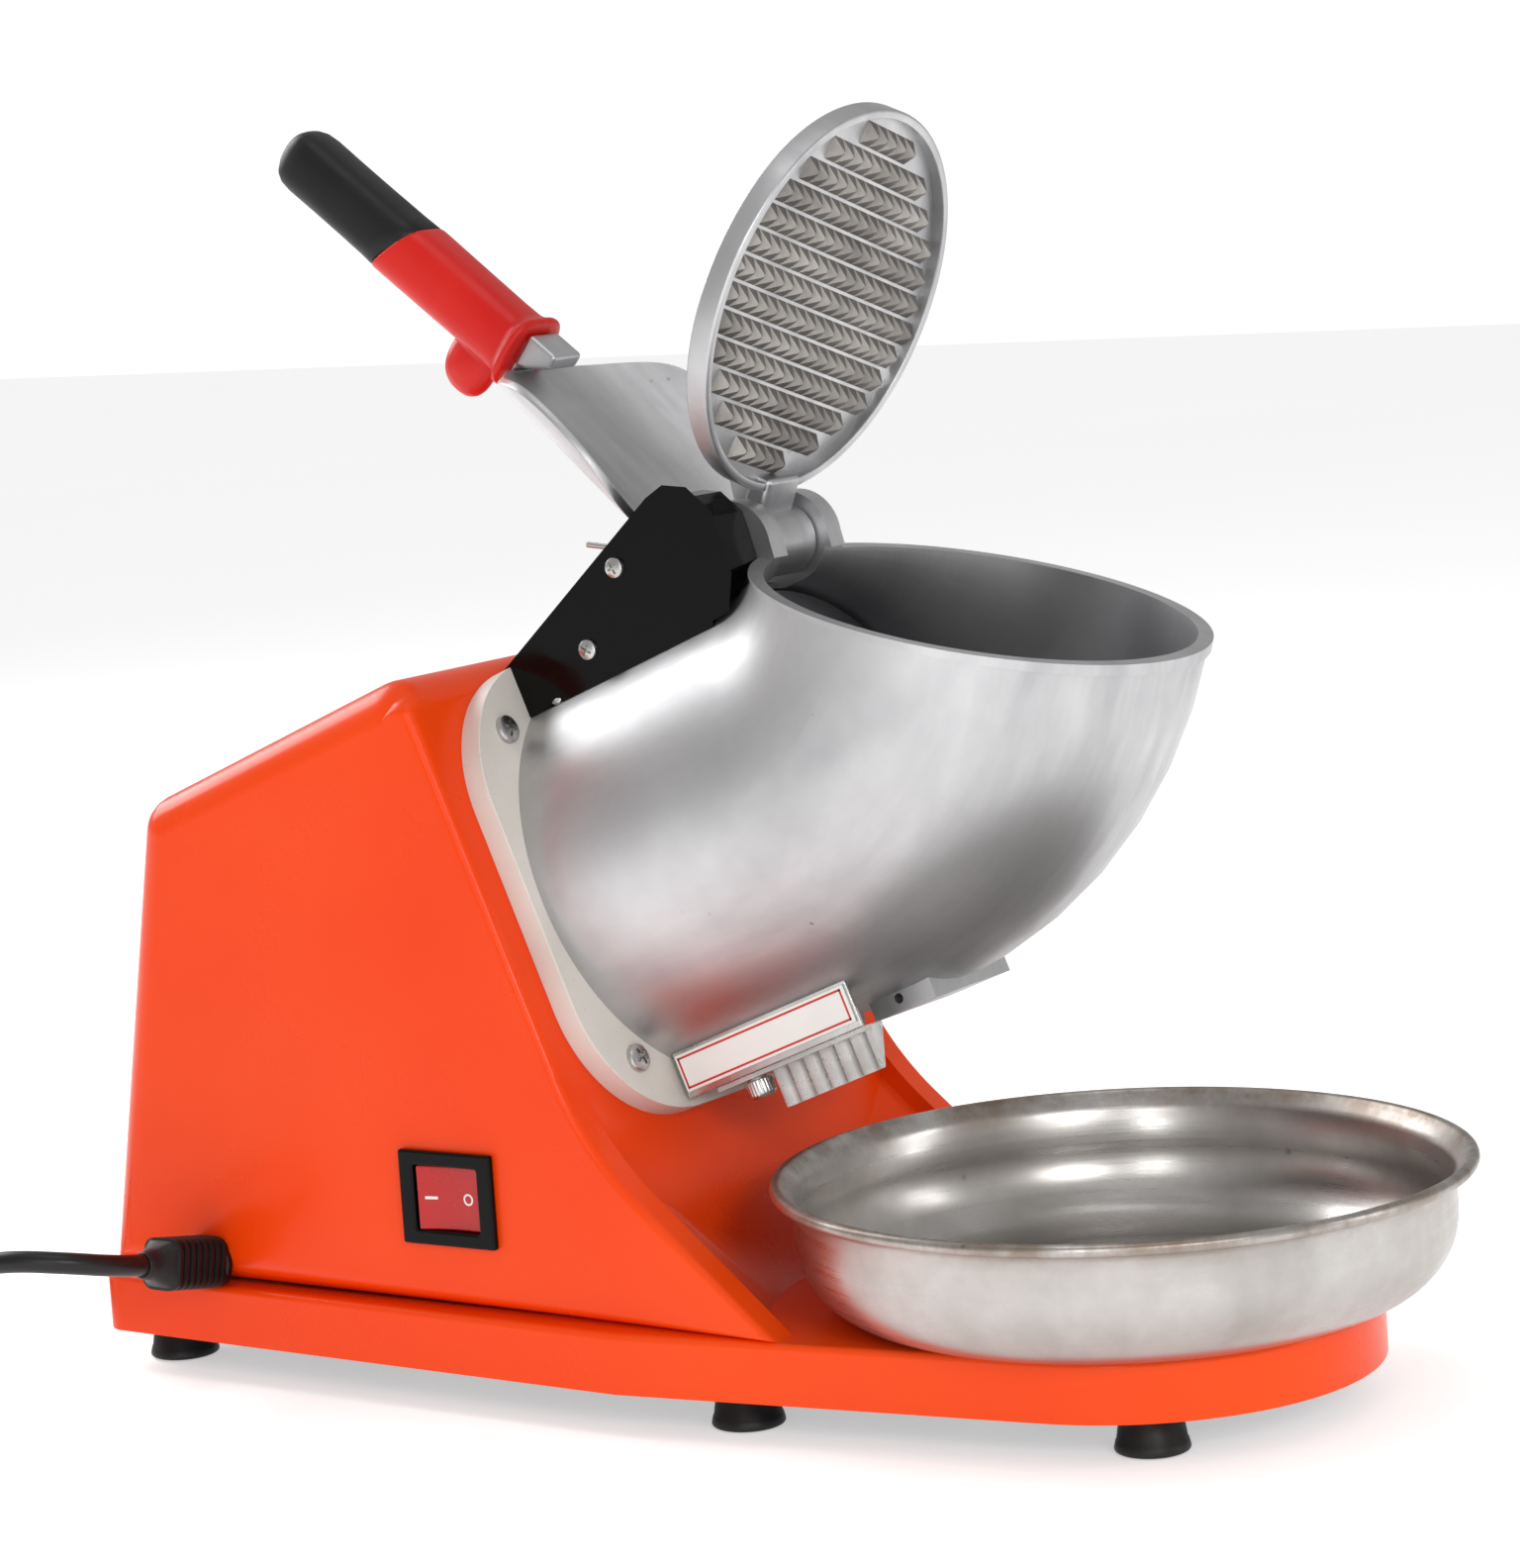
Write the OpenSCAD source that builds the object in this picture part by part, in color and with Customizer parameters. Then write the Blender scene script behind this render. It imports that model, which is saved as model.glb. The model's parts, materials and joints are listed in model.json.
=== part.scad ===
// Shaved ice machine: a motor-driven blade disc in a leaning aluminium hopper, a press lever over it,
// and a bowl on the base under the outlet. X points to the bowl, Z is up, the origin is on the floor.

/* [Base] */
// Height of the rubber feet
foot_h = 13; // [11:1:16]
// Height of the skirt round the base
skirt_h = 19; // [16:1:22]
// Width of the base at the rear
base_w = 174; // [172:1:178]
// Width of the base at its widest
base_w_mid = 188; // [184:1:194]
// Radius of the round front end of the base
nose_r = 76; // [72:1:80]

/* [Bowl] */
// Diameter of the bowl at its rim
bowl_d = 215; // [205:1:220]
// Height of the bowl
bowl_h = 42; // [36:1:44]

/* [Housing] */
// Wall thickness of the housing
wall = 3; // [2.5:0.5:3.5]
// Radius of the housing's rounded edges
edge_r = 13; // [10:1:15]
// Lean of the rear wall from vertical, in degrees
rear_lean = 11; // [6:1:12]

/* [Drum] */
// Slope of the drum and of the housing's roof, in degrees
tilt = 22; // [20:1:24]
// Outer radius of the drum and hopper
drum_r = 70; // [69:0.5:70.5]
// Length of the drum from its flange to the hinge
drum_len = 80; // [80:1:82]
// Width of the square flange
flange_w = 150; // [148:1:151]

/* [Lever] */
// Radius of the toothed press plate
plate_r = 62; // [58:0.5:62]

/* [Hidden] */
$fn = 96;
eps = 0.01;

deck_z = foot_h + skirt_h;
rear_x = -225;
nose_x = 195 - nose_r;
kink_x = -10;
half_w = base_w / 2;
half_mid = base_w_mid / 2;
foot_places = [[-210, 63], [20, 67], [150, 47.5]];
foot_r = 11.4;
boss_r = 6;
bowl_r = bowl_d / 2;
bowl_x = 225 - bowl_r;
bowl_corner_r = 24;
bowl_wall_r = bowl_r - 7;
bowl_t = 0.9;
bead_r = 2;

// The hinge of the press lever, and the drum's centre on the flange's front face
hinge = [2.5, 0, 263];
hinge_drop = 79;
drum_o = [hinge[0] - drum_len * cos(tilt) + hinge_drop * sin(tilt), 0,
    hinge[2] - drum_len * sin(tilt) - hinge_drop * cos(tilt)];
drum_in = drum_r - 3.5;
flange_t = 8;
flange_corner = 42;
roof_up = 82;
rim_turn = 54.5;
disc_x = 69;
disc_t = 4;
disc_r = 65;
shaft_r = 5;
fit = 0.05;
guard_z = -72.5;
guard_len = 71;
guard_half = 40;
lug_half = 22;
screw_at = [24, -33];
motor_r = 42;
core_r = 23.5;
air_gap = 0.5;
capacitor_at = [52, 19];
capacitor_r = 17;
flange_screw = 55;

// The press plate stands at this angle from +X when open, and the lever's grip at its own
plate_angle = 68;
shield_angle = 137.5;
grip_angle = 142;
grip_root = [105, 144.8];
sleeve_len = 58;
sleeve_w = 22;
grip_len = 46;
grip_r = 10.5;
hub_r = 11;
hub_half = 12;
pin_r = 4;

switch_x = -73.5;
switch_z = 68;
cord_r = 3.5;
boot_x = -173;
boot_z = 40;
boot_rise = 11;
boot_len = 35;
coil_x = -350;
coil_y = -84;
coil_mid_r = 42;
plug_x = -399;
plug_y = -58;

// Points in the drum's own plane: a along its axis, c square to it
function drum_pt(a, c) = [drum_o[0] + a * cos(tilt) - c * sin(tilt),
    drum_o[2] + a * sin(tilt) + c * cos(tilt)];

// An arc's points about a centre, from one angle to another
function arc_pts(centre, r, from, to, steps = 12) =
    [for (i = [0:steps]) centre + r * [cos(from + (to - from) * i / steps), sin(from + (to - from) * i / steps)]];

// The crossing of two lines, each through a point at an angle
function crossing(p, pa, q, qa) =
    let (d = q - p, s = (d[0] * sin(qa) - d[1] * cos(qa)) / sin(qa - pa)) p + s * [cos(pa), sin(pa)];

// The outside plan of the base, drawn in by t: a long taper, a kink and a round nose
function nose_turn() =
    let (dx = nose_x - kink_x, reach = norm([dx, half_mid])) atan2(-half_mid, -dx) + acos(nose_r / reach);
function near_plan(t) = concat(
    arc_pts([rear_x + 10, -half_w + 10], 10 - t, -180, -90, 6),
    [[kink_x, -half_mid + t]],
    arc_pts([nose_x, 0], nose_r - t, nose_turn(), 0, 20));
function base_plan(t) = let (near = near_plan(t), n = len(near))
    concat(near, [for (i = [1:n - 1]) [near[n - 1 - i][0], -near[n - 1 - i][1]]]);

// The housing's side view, drawn in by t
sweep_r = 100;
sweep_from = -50;
toe_slope = 40;
scoop_r = 109;
scoop_h = 100;
function housing_profile(t) =
    let (
        rear_foot = [rear_x + 3 + t / cos(rear_lean), deck_z],
        rear_a = 90 - rear_lean,
        roof_p = drum_pt(0, roof_up - t),
        back_top = crossing(rear_foot, rear_a, roof_p, tilt),
        r = edge_r - t,
        turn = rear_a - tilt,
        back_c = back_top + r / cos(turn / 2) * [cos((rear_a + tilt) / 2 - 90), sin((rear_a + tilt) / 2 - 90)],
        front_c = drum_pt(-flange_t - t - r, roof_up - t - r),
        sweep_c = drum_pt(-flange_t + sweep_r, sweep_from),
        toe = sweep_c + (sweep_r + t) * [cos(270 - toe_slope), sin(270 - toe_slope)],
        toe_end = toe + (toe[1] - deck_z) * [1 / tan(toe_slope), -1])
    concat([rear_foot], arc_pts(back_c, r, rear_a + 90, tilt + 90, 8),
        arc_pts(front_c, r, tilt + 90, tilt, 8),
        arc_pts(sweep_c, sweep_r + t, 180 + tilt, 270 - toe_slope, 14), [toe_end]);

// A tube of n sides swept along points, square to the path at each one
function unit(v) = v / norm(v);
function lean(p, i) = unit(p[min(i + 1, len(p) - 1)] - p[max(i - 1, 0)]);
function side_of(d) = unit(cross(d, abs(d[2]) > 0.9 ? [0, 1, 0] : [0, 0, 1]));
function curve_at(p, t) =
    let (n = len(p) - 1, i = min(floor(t), n - 1), u = t - i,
        a = p[max(i - 1, 0)], b = p[i], c = p[i + 1], d = p[min(i + 2, n)])
    0.5 * (2 * b + (c - a) * u + (2 * a - 5 * b + 4 * c - d) * u * u + (3 * b - a - 3 * c + d) * u * u * u);
function smooth(p, per) = [for (i = [0:(len(p) - 1) * per]) curve_at(p, i / per)];
module tube(path, r, n = 8) {
    rings = len(path);
    pts = [for (i = [0:rings - 1]) let (d = lean(path, i), s = side_of(d), u = cross(s, d))
        for (k = [0:n - 1]) path[i] + r * (s * cos(360 * k / n) + u * sin(360 * k / n))];
    walls = [for (i = [0:rings - 2]) for (k = [0:n - 1])
        [i * n + k, i * n + (k + 1) % n, (i + 1) * n + (k + 1) % n, (i + 1) * n + k]];
    ends = [[for (k = [n - 1:-1:0]) k], [for (k = [0:n - 1]) (rings - 1) * n + k]];
    polyhedron(points = pts, faces = concat(walls, ends));
}

// The mains cord from its boot to the coil, and round the coil's side to its plug
cord_route = [[-173, -121.3, 46.8], [-173.6, -129, 48.4], [-175.6, -136.5, 50.2], [-179.2, -143.4, 52],
    [-184.6, -149.4, 53.4], [-191.4, -153.8, 54.2], [-199, -156.6, 54], [-209, -157.8, 52.4],
    [-220, -157.4, 48], [-231, -155.6, 41.5], [-242, -153.2, 33], [-254, -150.2, 24.4], [-267, -146.4, 16.6],
    [-281, -142, 10.4], [-297, -137.2, 6], [-314, -133.2, 3.9], [-332, -130.4, 3.5], [-350, -129.5, 3.5]];
tail_route = [[-350, -129.5, 10.5], [-362, -128.2, 9.4], [-374, -123.4, 7.6], [-384.4, -115.6, 5.8],
    [-392.2, -105.2, 4.2], [-397, -93, 3.5], [-399, -80, 4.2], [-399, -68, 6.6], [-399, -58, 8]];

// Frames: the drum's, the lever's grip and the press plate's
module on_drum() { translate(drum_o) rotate([0, -tilt, 0]) children(); }
module on_lever(angle) { translate(hinge) rotate([0, -angle, 0]) children(); }
module along_x(x0, x1, r) { translate([x0, 0, 0]) rotate([0, 90, 0]) cylinder(r = r, h = x1 - x0); }
module along_y(y0, y1, r) { translate([0, y1, 0]) rotate([90, 0, 0]) cylinder(r = r, h = y1 - y0); }
module side_sheet(y0, y1) { translate([0, y1, 0]) rotate([90, 0, 0]) linear_extrude(y1 - y0) children(); }
module ring_x(x0, x1, r_out, r_in) {
    difference() {
        along_x(x0, x1, r_out);
        along_x(x0 - 1, x1 + 1, r_in);
    }
}
module round_square(w, r) {
    square([w - 2 * r, w], center = true);
    square([w, w - 2 * r], center = true);
    for (x = [-1, 1], y = [-1, 1]) translate([x * (w / 2 - r), y * (w / 2 - r)]) circle(r);
}
module each_foot() {
    for (p = foot_places, s = [-1, 1]) translate([p[0], s * p[1], 0]) children();
}
module below_deck() { translate([-300, -200, -100]) cube([700, 400, 100 + deck_z]); }

// ---- Base ----
module base_tray() color("orangered") difference() {
    union() {
        difference() {
            translate([0, 0, foot_h]) linear_extrude(skirt_h) polygon(base_plan(0));
            translate([0, 0, foot_h - 1]) linear_extrude(skirt_h - wall + 1) polygon(base_plan(wall));
        }
        each_foot() translate([0, 0, foot_h + 1.5]) cylinder(r = boss_r, h = skirt_h - wall - 1.5 + eps);
    }
    each_foot() translate([0, 0, foot_h]) cylinder(r = 2, h = skirt_h - wall - 2);
}
module bottom_cover() color("dimgray") difference() {
    translate([0, 0, foot_h]) linear_extrude(1.5) polygon(base_plan(wall + 0.3));
    each_foot() translate([0, 0, foot_h - 1]) cylinder(r = 2.3, h = 4);
    for (i = [0:6]) translate([-150 + i * 12, -25, foot_h - 1]) cube([4, 50, 4]);
    for (x = [-110, 90], y = [-40, 40]) translate([x, y, foot_h - 1]) cylinder(r = 1.7, h = 4);
}
module bottom_screws() color("silver") for (x = [-110, 90], y = [-40, 40]) translate([x, y, 0]) {
    translate([0, 0, foot_h - 2]) cylinder(r = 3.4, h = 2);
    translate([0, 0, foot_h - eps]) cylinder(r = 1.6, h = 8);
}
module foot(i, s) color("black") translate([foot_places[i][0], s * foot_places[i][1], 0])
    rotate_extrude() difference() {
        polygon([[2.3, 0], [foot_r, 0], [foot_r - 2.2, foot_h], [2.3, foot_h]]);
        translate([0, -1]) square([5, 6]);
    }
module foot_rear_left() foot(0, 1);
module foot_rear_right() foot(0, -1);
module foot_mid_left() foot(1, 1);
module foot_mid_right() foot(1, -1);
module foot_front_left() foot(2, 1);
module foot_front_right() foot(2, -1);
module foot_screws() color("silver") each_foot() {
    translate([0, 0, 2.8]) cylinder(r = 4, h = 2.2);
    translate([0, 0, 4]) cylinder(r = 1.95, h = 20);
}

// ---- Housing ----
// Its roof edges and rear edges are rounded by tunnels that run along the roof and up the rear wall
module roof_tunnel(t) {
    r = edge_r - t;
    w = half_w - t;
    on_drum() translate([-400, 0, roof_up - t]) rotate([90, 0, 90]) linear_extrude(900) union() {
        translate([-w + r, -400]) square([2 * (w - r), 400]);
        translate([-w, -400]) square([2 * w, 400 - r]);
        for (s = [-1, 1]) translate([s * (w - r), -r]) circle(r);
    }
}
module rear_tunnel(t) {
    r = edge_r - t;
    w = half_w - t;
    translate([rear_x + 3 + t / cos(rear_lean), 0, deck_z]) rotate([0, rear_lean, 0])
        translate([0, 0, -60]) linear_extrude(400) union() {
            translate([r, -w]) square([500, 2 * w]);
            translate([0, -w + r]) square([500, 2 * (w - r)]);
            for (s = [-1, 1]) translate([r, s * (w - r)]) circle(r);
        }
}
// The front face lies back between two lips, and curves round the bowl at its foot
module scoop(t) {
    lip_in = 76 + t;
    intersection() {
        on_drum() translate([-flange_t - t, -lip_in, -250]) cube([400, 2 * lip_in, 205]);
        translate([bowl_x, 0, deck_z - 1]) cylinder(r1 = scoop_r + t, r2 = scoop_r + scoop_h + t, h = scoop_h);
        translate([-100, -lip_in, deck_z - 1]) cube([250, 2 * lip_in, scoop_h]);
    }
}
module housing_solid(t) difference() {
    intersection() {
        side_sheet(-half_w + t, half_w - t) polygon(housing_profile(t));
        roof_tunnel(t);
        rear_tunnel(t);
    }
    scoop(t);
}
module housing_shell() color("orangered") difference() {
    housing_solid(0);
    difference() {
        housing_solid(wall);
        below_deck();
    }
    translate([0, 0, -1]) intersection() {
        housing_solid(wall);
        translate([-300, -200, 0]) cube([700, 400, deck_z + 3]);
    }
    on_drum() along_x(-flange_t - 20, -flange_t + 1, 30);
    on_drum() for (y = [-1, 1] * flange_screw, z = [-1, 1] * flange_screw) translate([0, y, z]) along_x(-20, 0, 2.3);
    translate([switch_x - 13.5, -half_w - 1, switch_z - 11.5]) cube([27, wall + 2, 23]);
    translate([boot_x, 0, boot_z]) along_y(-half_w - 1, -half_w + wall + 1, 6.2);
    for (i = [0:8]) translate([-150 + i * 7, half_w - wall - 1, 60]) cube([3, wall + 2, 40]);
}

// ---- Drum, hopper and flange ----
module flange_plate() color("linen") on_drum() difference() {
    translate([-flange_t, 0, 0]) rotate([90, 0, 90]) linear_extrude(flange_t) round_square(flange_w, flange_corner);
    along_x(-flange_t - 1, 1, 11);
    for (y = [-1, 1] * flange_screw, z = [-1, 1] * flange_screw) translate([0, y, z]) along_x(-flange_t - 1, 1, 2.3);
}
module flange_screws() color("silver") on_drum() for (y = [-1, 1] * flange_screw, z = [-1, 1] * flange_screw) translate([0, y, z]) {
    along_x(0, 2.6, 4.6);
    along_x(-16, eps, 2.2);
}
module elbow(r, from, turn) translate([drum_len, 0, hinge_drop]) rotate([90, 0, 0])
    rotate_extrude(angle = turn, start = from) translate([hinge_drop, 0]) circle(r);
module ear(y0, y1) side_sheet(y0, y1) {
    translate([drum_len, hinge_drop]) circle(15);
    polygon([[drum_len - 42, 55], [drum_len + 12, 55], [drum_len + 15, hinge_drop], [drum_len - 10, hinge_drop + 11]]);
}
module hopper() color("lightgray") on_drum() difference() {
    union() {
        along_x(0, drum_len, drum_r);
        elbow(drum_r, -90, rim_turn);
        elbow(drum_r + 1.2, -90 + rim_turn - 1.4, 1.4);
        ear(-20, -12.4);
        ear(12.4, 20);
        translate([drum_len - 14, -lug_half, guard_z]) cube([24, 2 * lug_half, 16]);
    }
    along_x(-1, drum_len + eps, drum_in);
    elbow(drum_in, -90.01, rim_turn + 4);
    translate([drum_len, 0, hinge_drop]) along_y(-12.4, 12.4, 15.6);
    translate([drum_len, 0, hinge_drop]) along_y(-30, 30, pin_r + fit);
    translate([4, -28, -90]) cube([56, 56, 60]);
    translate([drum_len - 3, 0, guard_z + 4]) along_y(-lug_half - 1, -12, 1.6);
}
module hinge_pin() color("gainsboro") on_drum() translate([drum_len, 0, hinge_drop]) {
    along_y(-24, 23, pin_r);
    along_y(23, 25, pin_r + 2);
}
module hinge_clip() color("gray") on_drum() translate([drum_len, 0, hinge_drop]) difference() {
    along_y(-21.2, -20.2, pin_r + 2.4);
    along_y(-22, -20, pin_r + fit);
    translate([0, -22, -1.5]) cube([10, 3, 3]);
}

// ---- Outlet ----
// Its sheet guard is open at the front end, and the chute's flange is screwed to a tab on it
module outlet_guard() color("silver") on_drum() difference() {
    union() {
        translate([2, -guard_half, guard_z]) cube([guard_len, 2 * guard_half, 30]);
        translate([14, -guard_half, guard_z]) cube([20, 14, 1.5]);
    }
    difference() {
        translate([3.5, -guard_half + 1.5, guard_z - 1]) cube([guard_len, 2 * guard_half - 3, 40]);
        translate([14, -guard_half, guard_z]) cube([20, 14, 1.5]);
    }
    along_x(-1, drum_len + 1, drum_r);
    translate([screw_at[0], screw_at[1], guard_z - 1]) cylinder(r = 2.1, h = 10);
}
module label_plate() color("white") on_drum() translate([3, -guard_half - 1, guard_z + 2])
    cube([guard_len - 2, 1, 12]);
module outlet_chute() color("whitesmoke") on_drum() difference() {
    union() {
        translate([12, -38, guard_z - 1.6]) cube([60, 76, 1.5]);
        translate([30, -31, guard_z - 13]) cube([44, 62, 12.5]);
        for (i = [0:6], s = [-1, 1]) translate([33 + i * 6.3, s * 31.8, guard_z - 14]) cylinder(r = 2.6, h = 13.5);
    }
    translate([32, -29, guard_z - 15]) cube([40, 58, 20]);
    translate([screw_at[0], screw_at[1], guard_z - 5]) cylinder(r = 2.1, h = 10);
}
module thumb_screw() color("silver") on_drum() translate([screw_at[0], screw_at[1], guard_z]) {
    translate([0, 0, -8.1]) cylinder(r = 4.6, h = 6.4);
    translate([0, 0, -2.1]) cylinder(r = 2.05, h = 8);
}

// ---- Lever switch under its black cover ----
module switch_cover() color("black") on_drum() difference() {
    side_sheet(-41, -20.4) polygon([[1, 73], [1, 40], [drum_len, 40], [drum_len + 3, 62], [drum_len + 8, 70],
        [drum_len + 9.5, 88], [drum_len + 5, 96.5], [drum_len - 1, 99.5], [drum_len - 7, 98.5]]);
    side_sheet(-39, -15) polygon([[3, 72], [3, 30], [drum_len, 30], [drum_len + 1, 63], [drum_len + 5.6, 71],
        [drum_len + 7, 88], [drum_len + 3, 94.5], [drum_len - 1, 97], [drum_len - 6, 96]]);
    along_x(-1, drum_len + 40, drum_r + 0.2);
    elbow(drum_r + 1.4, -90, rim_turn + 20);
    for (p = [[52, 87], [31, 68]]) translate([p[0], 0, p[1]]) along_y(-45, -30, 1.7);
    translate([43, -30, 84]) cube([16, 5, 14]);
}
module cover_screws() color("silver") on_drum() {
    for (p = [[52, 87], [31, 68]]) translate([p[0], 0, p[1]]) {
        along_y(-43, -41, 3.4);
        along_y(-41 - eps, -36, 1.6);
    }
    translate([12, -38, 0]) rotate([33, 0, 0]) translate([0, 0, drum_r]) cylinder(r = 3, h = 1.8);
}
module safety_switch() color("dimgray") on_drum() translate([45, -35, 72]) cube([20, 10, 13]);
module safety_wire() color("silver") on_drum() translate([57, -27.5, 88.5]) {
    along_y(-1, 2, 1.6);
    rotate([0, -152, 0]) along_x(1, 24, 0.9);
    rotate([0, 12, 0]) along_x(1, 12, 0.9);
}

// ---- Rocker switch ----
module switch_bezel() color("black") difference() {
    translate([switch_x - 18, -half_w - 2.6, switch_z - 15]) cube([36, 2.6, 30]);
    translate([switch_x - 12.4, -half_w - 4, switch_z - 10.3]) cube([24.8, 6, 20.6]);
}
module switch_body() color("dimgray") difference() {
    translate([switch_x - 13.2, -half_w, switch_z - 11.2]) cube([26.4, 26, 22.4]);
    translate([switch_x - 12.4, -half_w - 1, switch_z - 10.3]) cube([24.8, 15, 20.6]);
}
module rocker() color("red") translate([switch_x, -half_w + 4, switch_z]) rotate([0, 0, 5]) {
    translate([0, 0, -10]) linear_extrude(20) polygon([[-11.7, -5.4], [0, -4.4], [11.7, -5.4], [10, 2], [-10, 2]]);
    translate([0, 0, -10.25]) cylinder(r = 1.2, h = 20.5);
}

// ---- Cord ----
module strain_relief() color("black") translate([boot_x, -half_w, boot_z]) difference() {
    union() {
        along_y(-2.5, 0, 7.9);
        along_y(-eps, wall + 3, 6);
        rotate([90 - boot_rise, 0, 0]) {
            translate([0, 0, -1]) linear_extrude(boot_len - 8) offset(r = 3, $fn = 32) square([8, 9], center = true);
            translate([0, 0, boot_len - 10]) cylinder(r1 = 6.4, r2 = 4.6, h = 10);
            for (i = [0:5]) translate([0, 0, 4 + i * 4]) linear_extrude(2)
                offset(r = 4, $fn = 32) square([8, 9], center = true);
        }
    }
    along_y(-0.5, 20, cord_r);
}
module mains_cord() color("black") {
    tube(smooth(cord_route, 2), cord_r);
    tube(smooth(tail_route, 2), cord_r);
}
module cord_coil() color("black") translate([coil_x, coil_y, 0]) rotate_extrude()
    translate([coil_mid_r - 2 * cord_r, 0]) square(4 * cord_r);
module plug_body() color("black") translate([plug_x, plug_y, 8]) {
    along_y(0, 12, 6.5);
    translate([-12, 12, -8]) cube([24, 24, 16]);
}
module plug_pins() color("gold") for (x = [-6.35, 6.35]) translate([plug_x + x - 0.75, plug_y + 36, 4.8])
    cube([1.5, 17, 6.4]);

// ---- Inside the housing ----
module terminal_block() color("ivory") translate([-196, -66, deck_z]) cube([34, 16, 14]);
module wiring() color("saddlebrown") {
    tube(smooth([[-173, -83, 43], [-173, -76, 43], [-176, -70, 42], [-179, -66, 40]], 4), 2);
    tube(smooth([[-162, -58, 40], [-140, -62, 44], [-100, -60, 56], [-78, -57, 66], [-73.5, -61, 68]], 4), 2);
    tube(smooth([[-179, -50, 40], [-178, -40, 44], [-172, -28, 58], [-166, -20, 76], [-160, -14, 80]], 4), 2);
}
module at_capacitor() { translate([0, capacitor_at[0], deck_z + capacitor_at[1]]) children(); }
module capacitor() color("lightgray") at_capacitor() along_x(-190, -128, capacitor_r);
module capacitor_clip() color("silver") difference() {
    union() {
        at_capacitor() along_x(-165, -153, capacitor_r + 1.5);
        translate([-165, 30, deck_z]) cube([12, 44, 2]);
    }
    at_capacitor() along_x(-170, -150, capacitor_r);
    below_deck();
}
module motor_bracket() color("gray") difference() {
    on_drum() difference() {
        union() {
            along_x(-74, -60, motor_r + 2.5);
            translate([-74, -26, -140]) cube([14, 52, 110]);
        }
        along_x(-80, -50, motor_r);
        translate([-80, -20, -150]) cube([30, 40, 104]);
    }
    below_deck();
}
module motor_front() color("silver") on_drum() difference() {
    along_x(-32, -flange_t - wall, motor_r);
    along_x(-33, -25, motor_r - 3);
    along_x(-26, -14, 11);
    along_x(-40, 0, shaft_r + 1);
    for (a = [45:90:315]) rotate([a, 0, 0]) translate([0, 0, motor_r - 5]) along_x(-40, 0, 2.1);
}
module motor_rear() color("silver") on_drum() difference() {
    along_x(-112, -86, motor_r);
    along_x(-100, -85, motor_r - 3);
    along_x(-108, -99, 11);
    for (a = [0:45:315]) rotate([a, 0, 0]) translate([-113, -3, 18]) cube([14, 6, 12]);
}
module motor_stator() color("dimgray") on_drum() ring_x(-86, -32, motor_r, core_r + air_gap);
module motor_bolts() color("silver") on_drum() for (a = [45:90:315]) rotate([a, 0, 0])
    translate([0, 0, motor_r - 5]) along_x(-24, -13, 2);
module front_bearing() color("silver") on_drum() ring_x(-26, -17, 11, shaft_r + fit);
module rear_bearing() color("silver") on_drum() ring_x(-108, -99, 11, shaft_r + fit);
module shaft_seal() color("black") on_drum() ring_x(-7.5, -0.5, 11, shaft_r + fit);

// ---- What the motor turns ----
module motor_shaft() color("silver") on_drum() along_x(-107, disc_x + 9, shaft_r);
module motor_core() color("dimgray") on_drum() ring_x(-83, -35, core_r, shaft_r);
module motor_fan() color("black") on_drum() {
    ring_x(-98, -88, 9, shaft_r);
    for (a = [0:45:315]) rotate([a, 0, 0]) translate([-97, -0.8, 8.5]) cube([8, 1.6, 24]);
}
module ice_paddles() color("silver") on_drum() {
    ring_x(14, disc_x, 12, shaft_r);
    for (a = [0:120:240]) rotate([a, 0, 0]) translate([16, -1, 10]) cube([disc_x - 18, 2, 51]);
}
module blade_disc() color("dimgray") on_drum() difference() {
    along_x(disc_x, disc_x + disc_t, disc_r);
    along_x(disc_x - 1, disc_x + disc_t + 1, shaft_r);
    for (a = [30:120:270]) rotate([a, 0, 0]) {
        translate([disc_x - 1, -3, 16]) cube([disc_t + 2, 6, 44]);
        for (z = [26, 50]) translate([0, 11, z]) along_x(disc_x - 1, disc_x + 6, 1.6);
    }
}
module blades() color("gainsboro") on_drum() for (a = [30:120:270]) rotate([a, 0, 0])
    difference() {
        translate([disc_x + disc_t, 0, 17]) cube([1.4, 17, 42]);
        for (z = [26, 50]) translate([0, 11, z]) along_x(disc_x, disc_x + 8, 1.7);
    }
module blade_screws() color("silver") on_drum() for (a = [30:120:270], z = [26, 50]) rotate([a, 0, 0])
    translate([0, 11, z]) {
        along_x(disc_x + disc_t + 1.4, disc_x + disc_t + 2.6, 3);
        along_x(disc_x, disc_x + disc_t + 1.5, 1.6);
    }
module shaft_nut() color("silver") on_drum() difference() {
    translate([disc_x + disc_t, 0, 0]) rotate([0, 90, 0]) cylinder(r = 8, h = 5, $fn = 6);
    along_x(disc_x, disc_x + 10, shaft_r);
}

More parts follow.
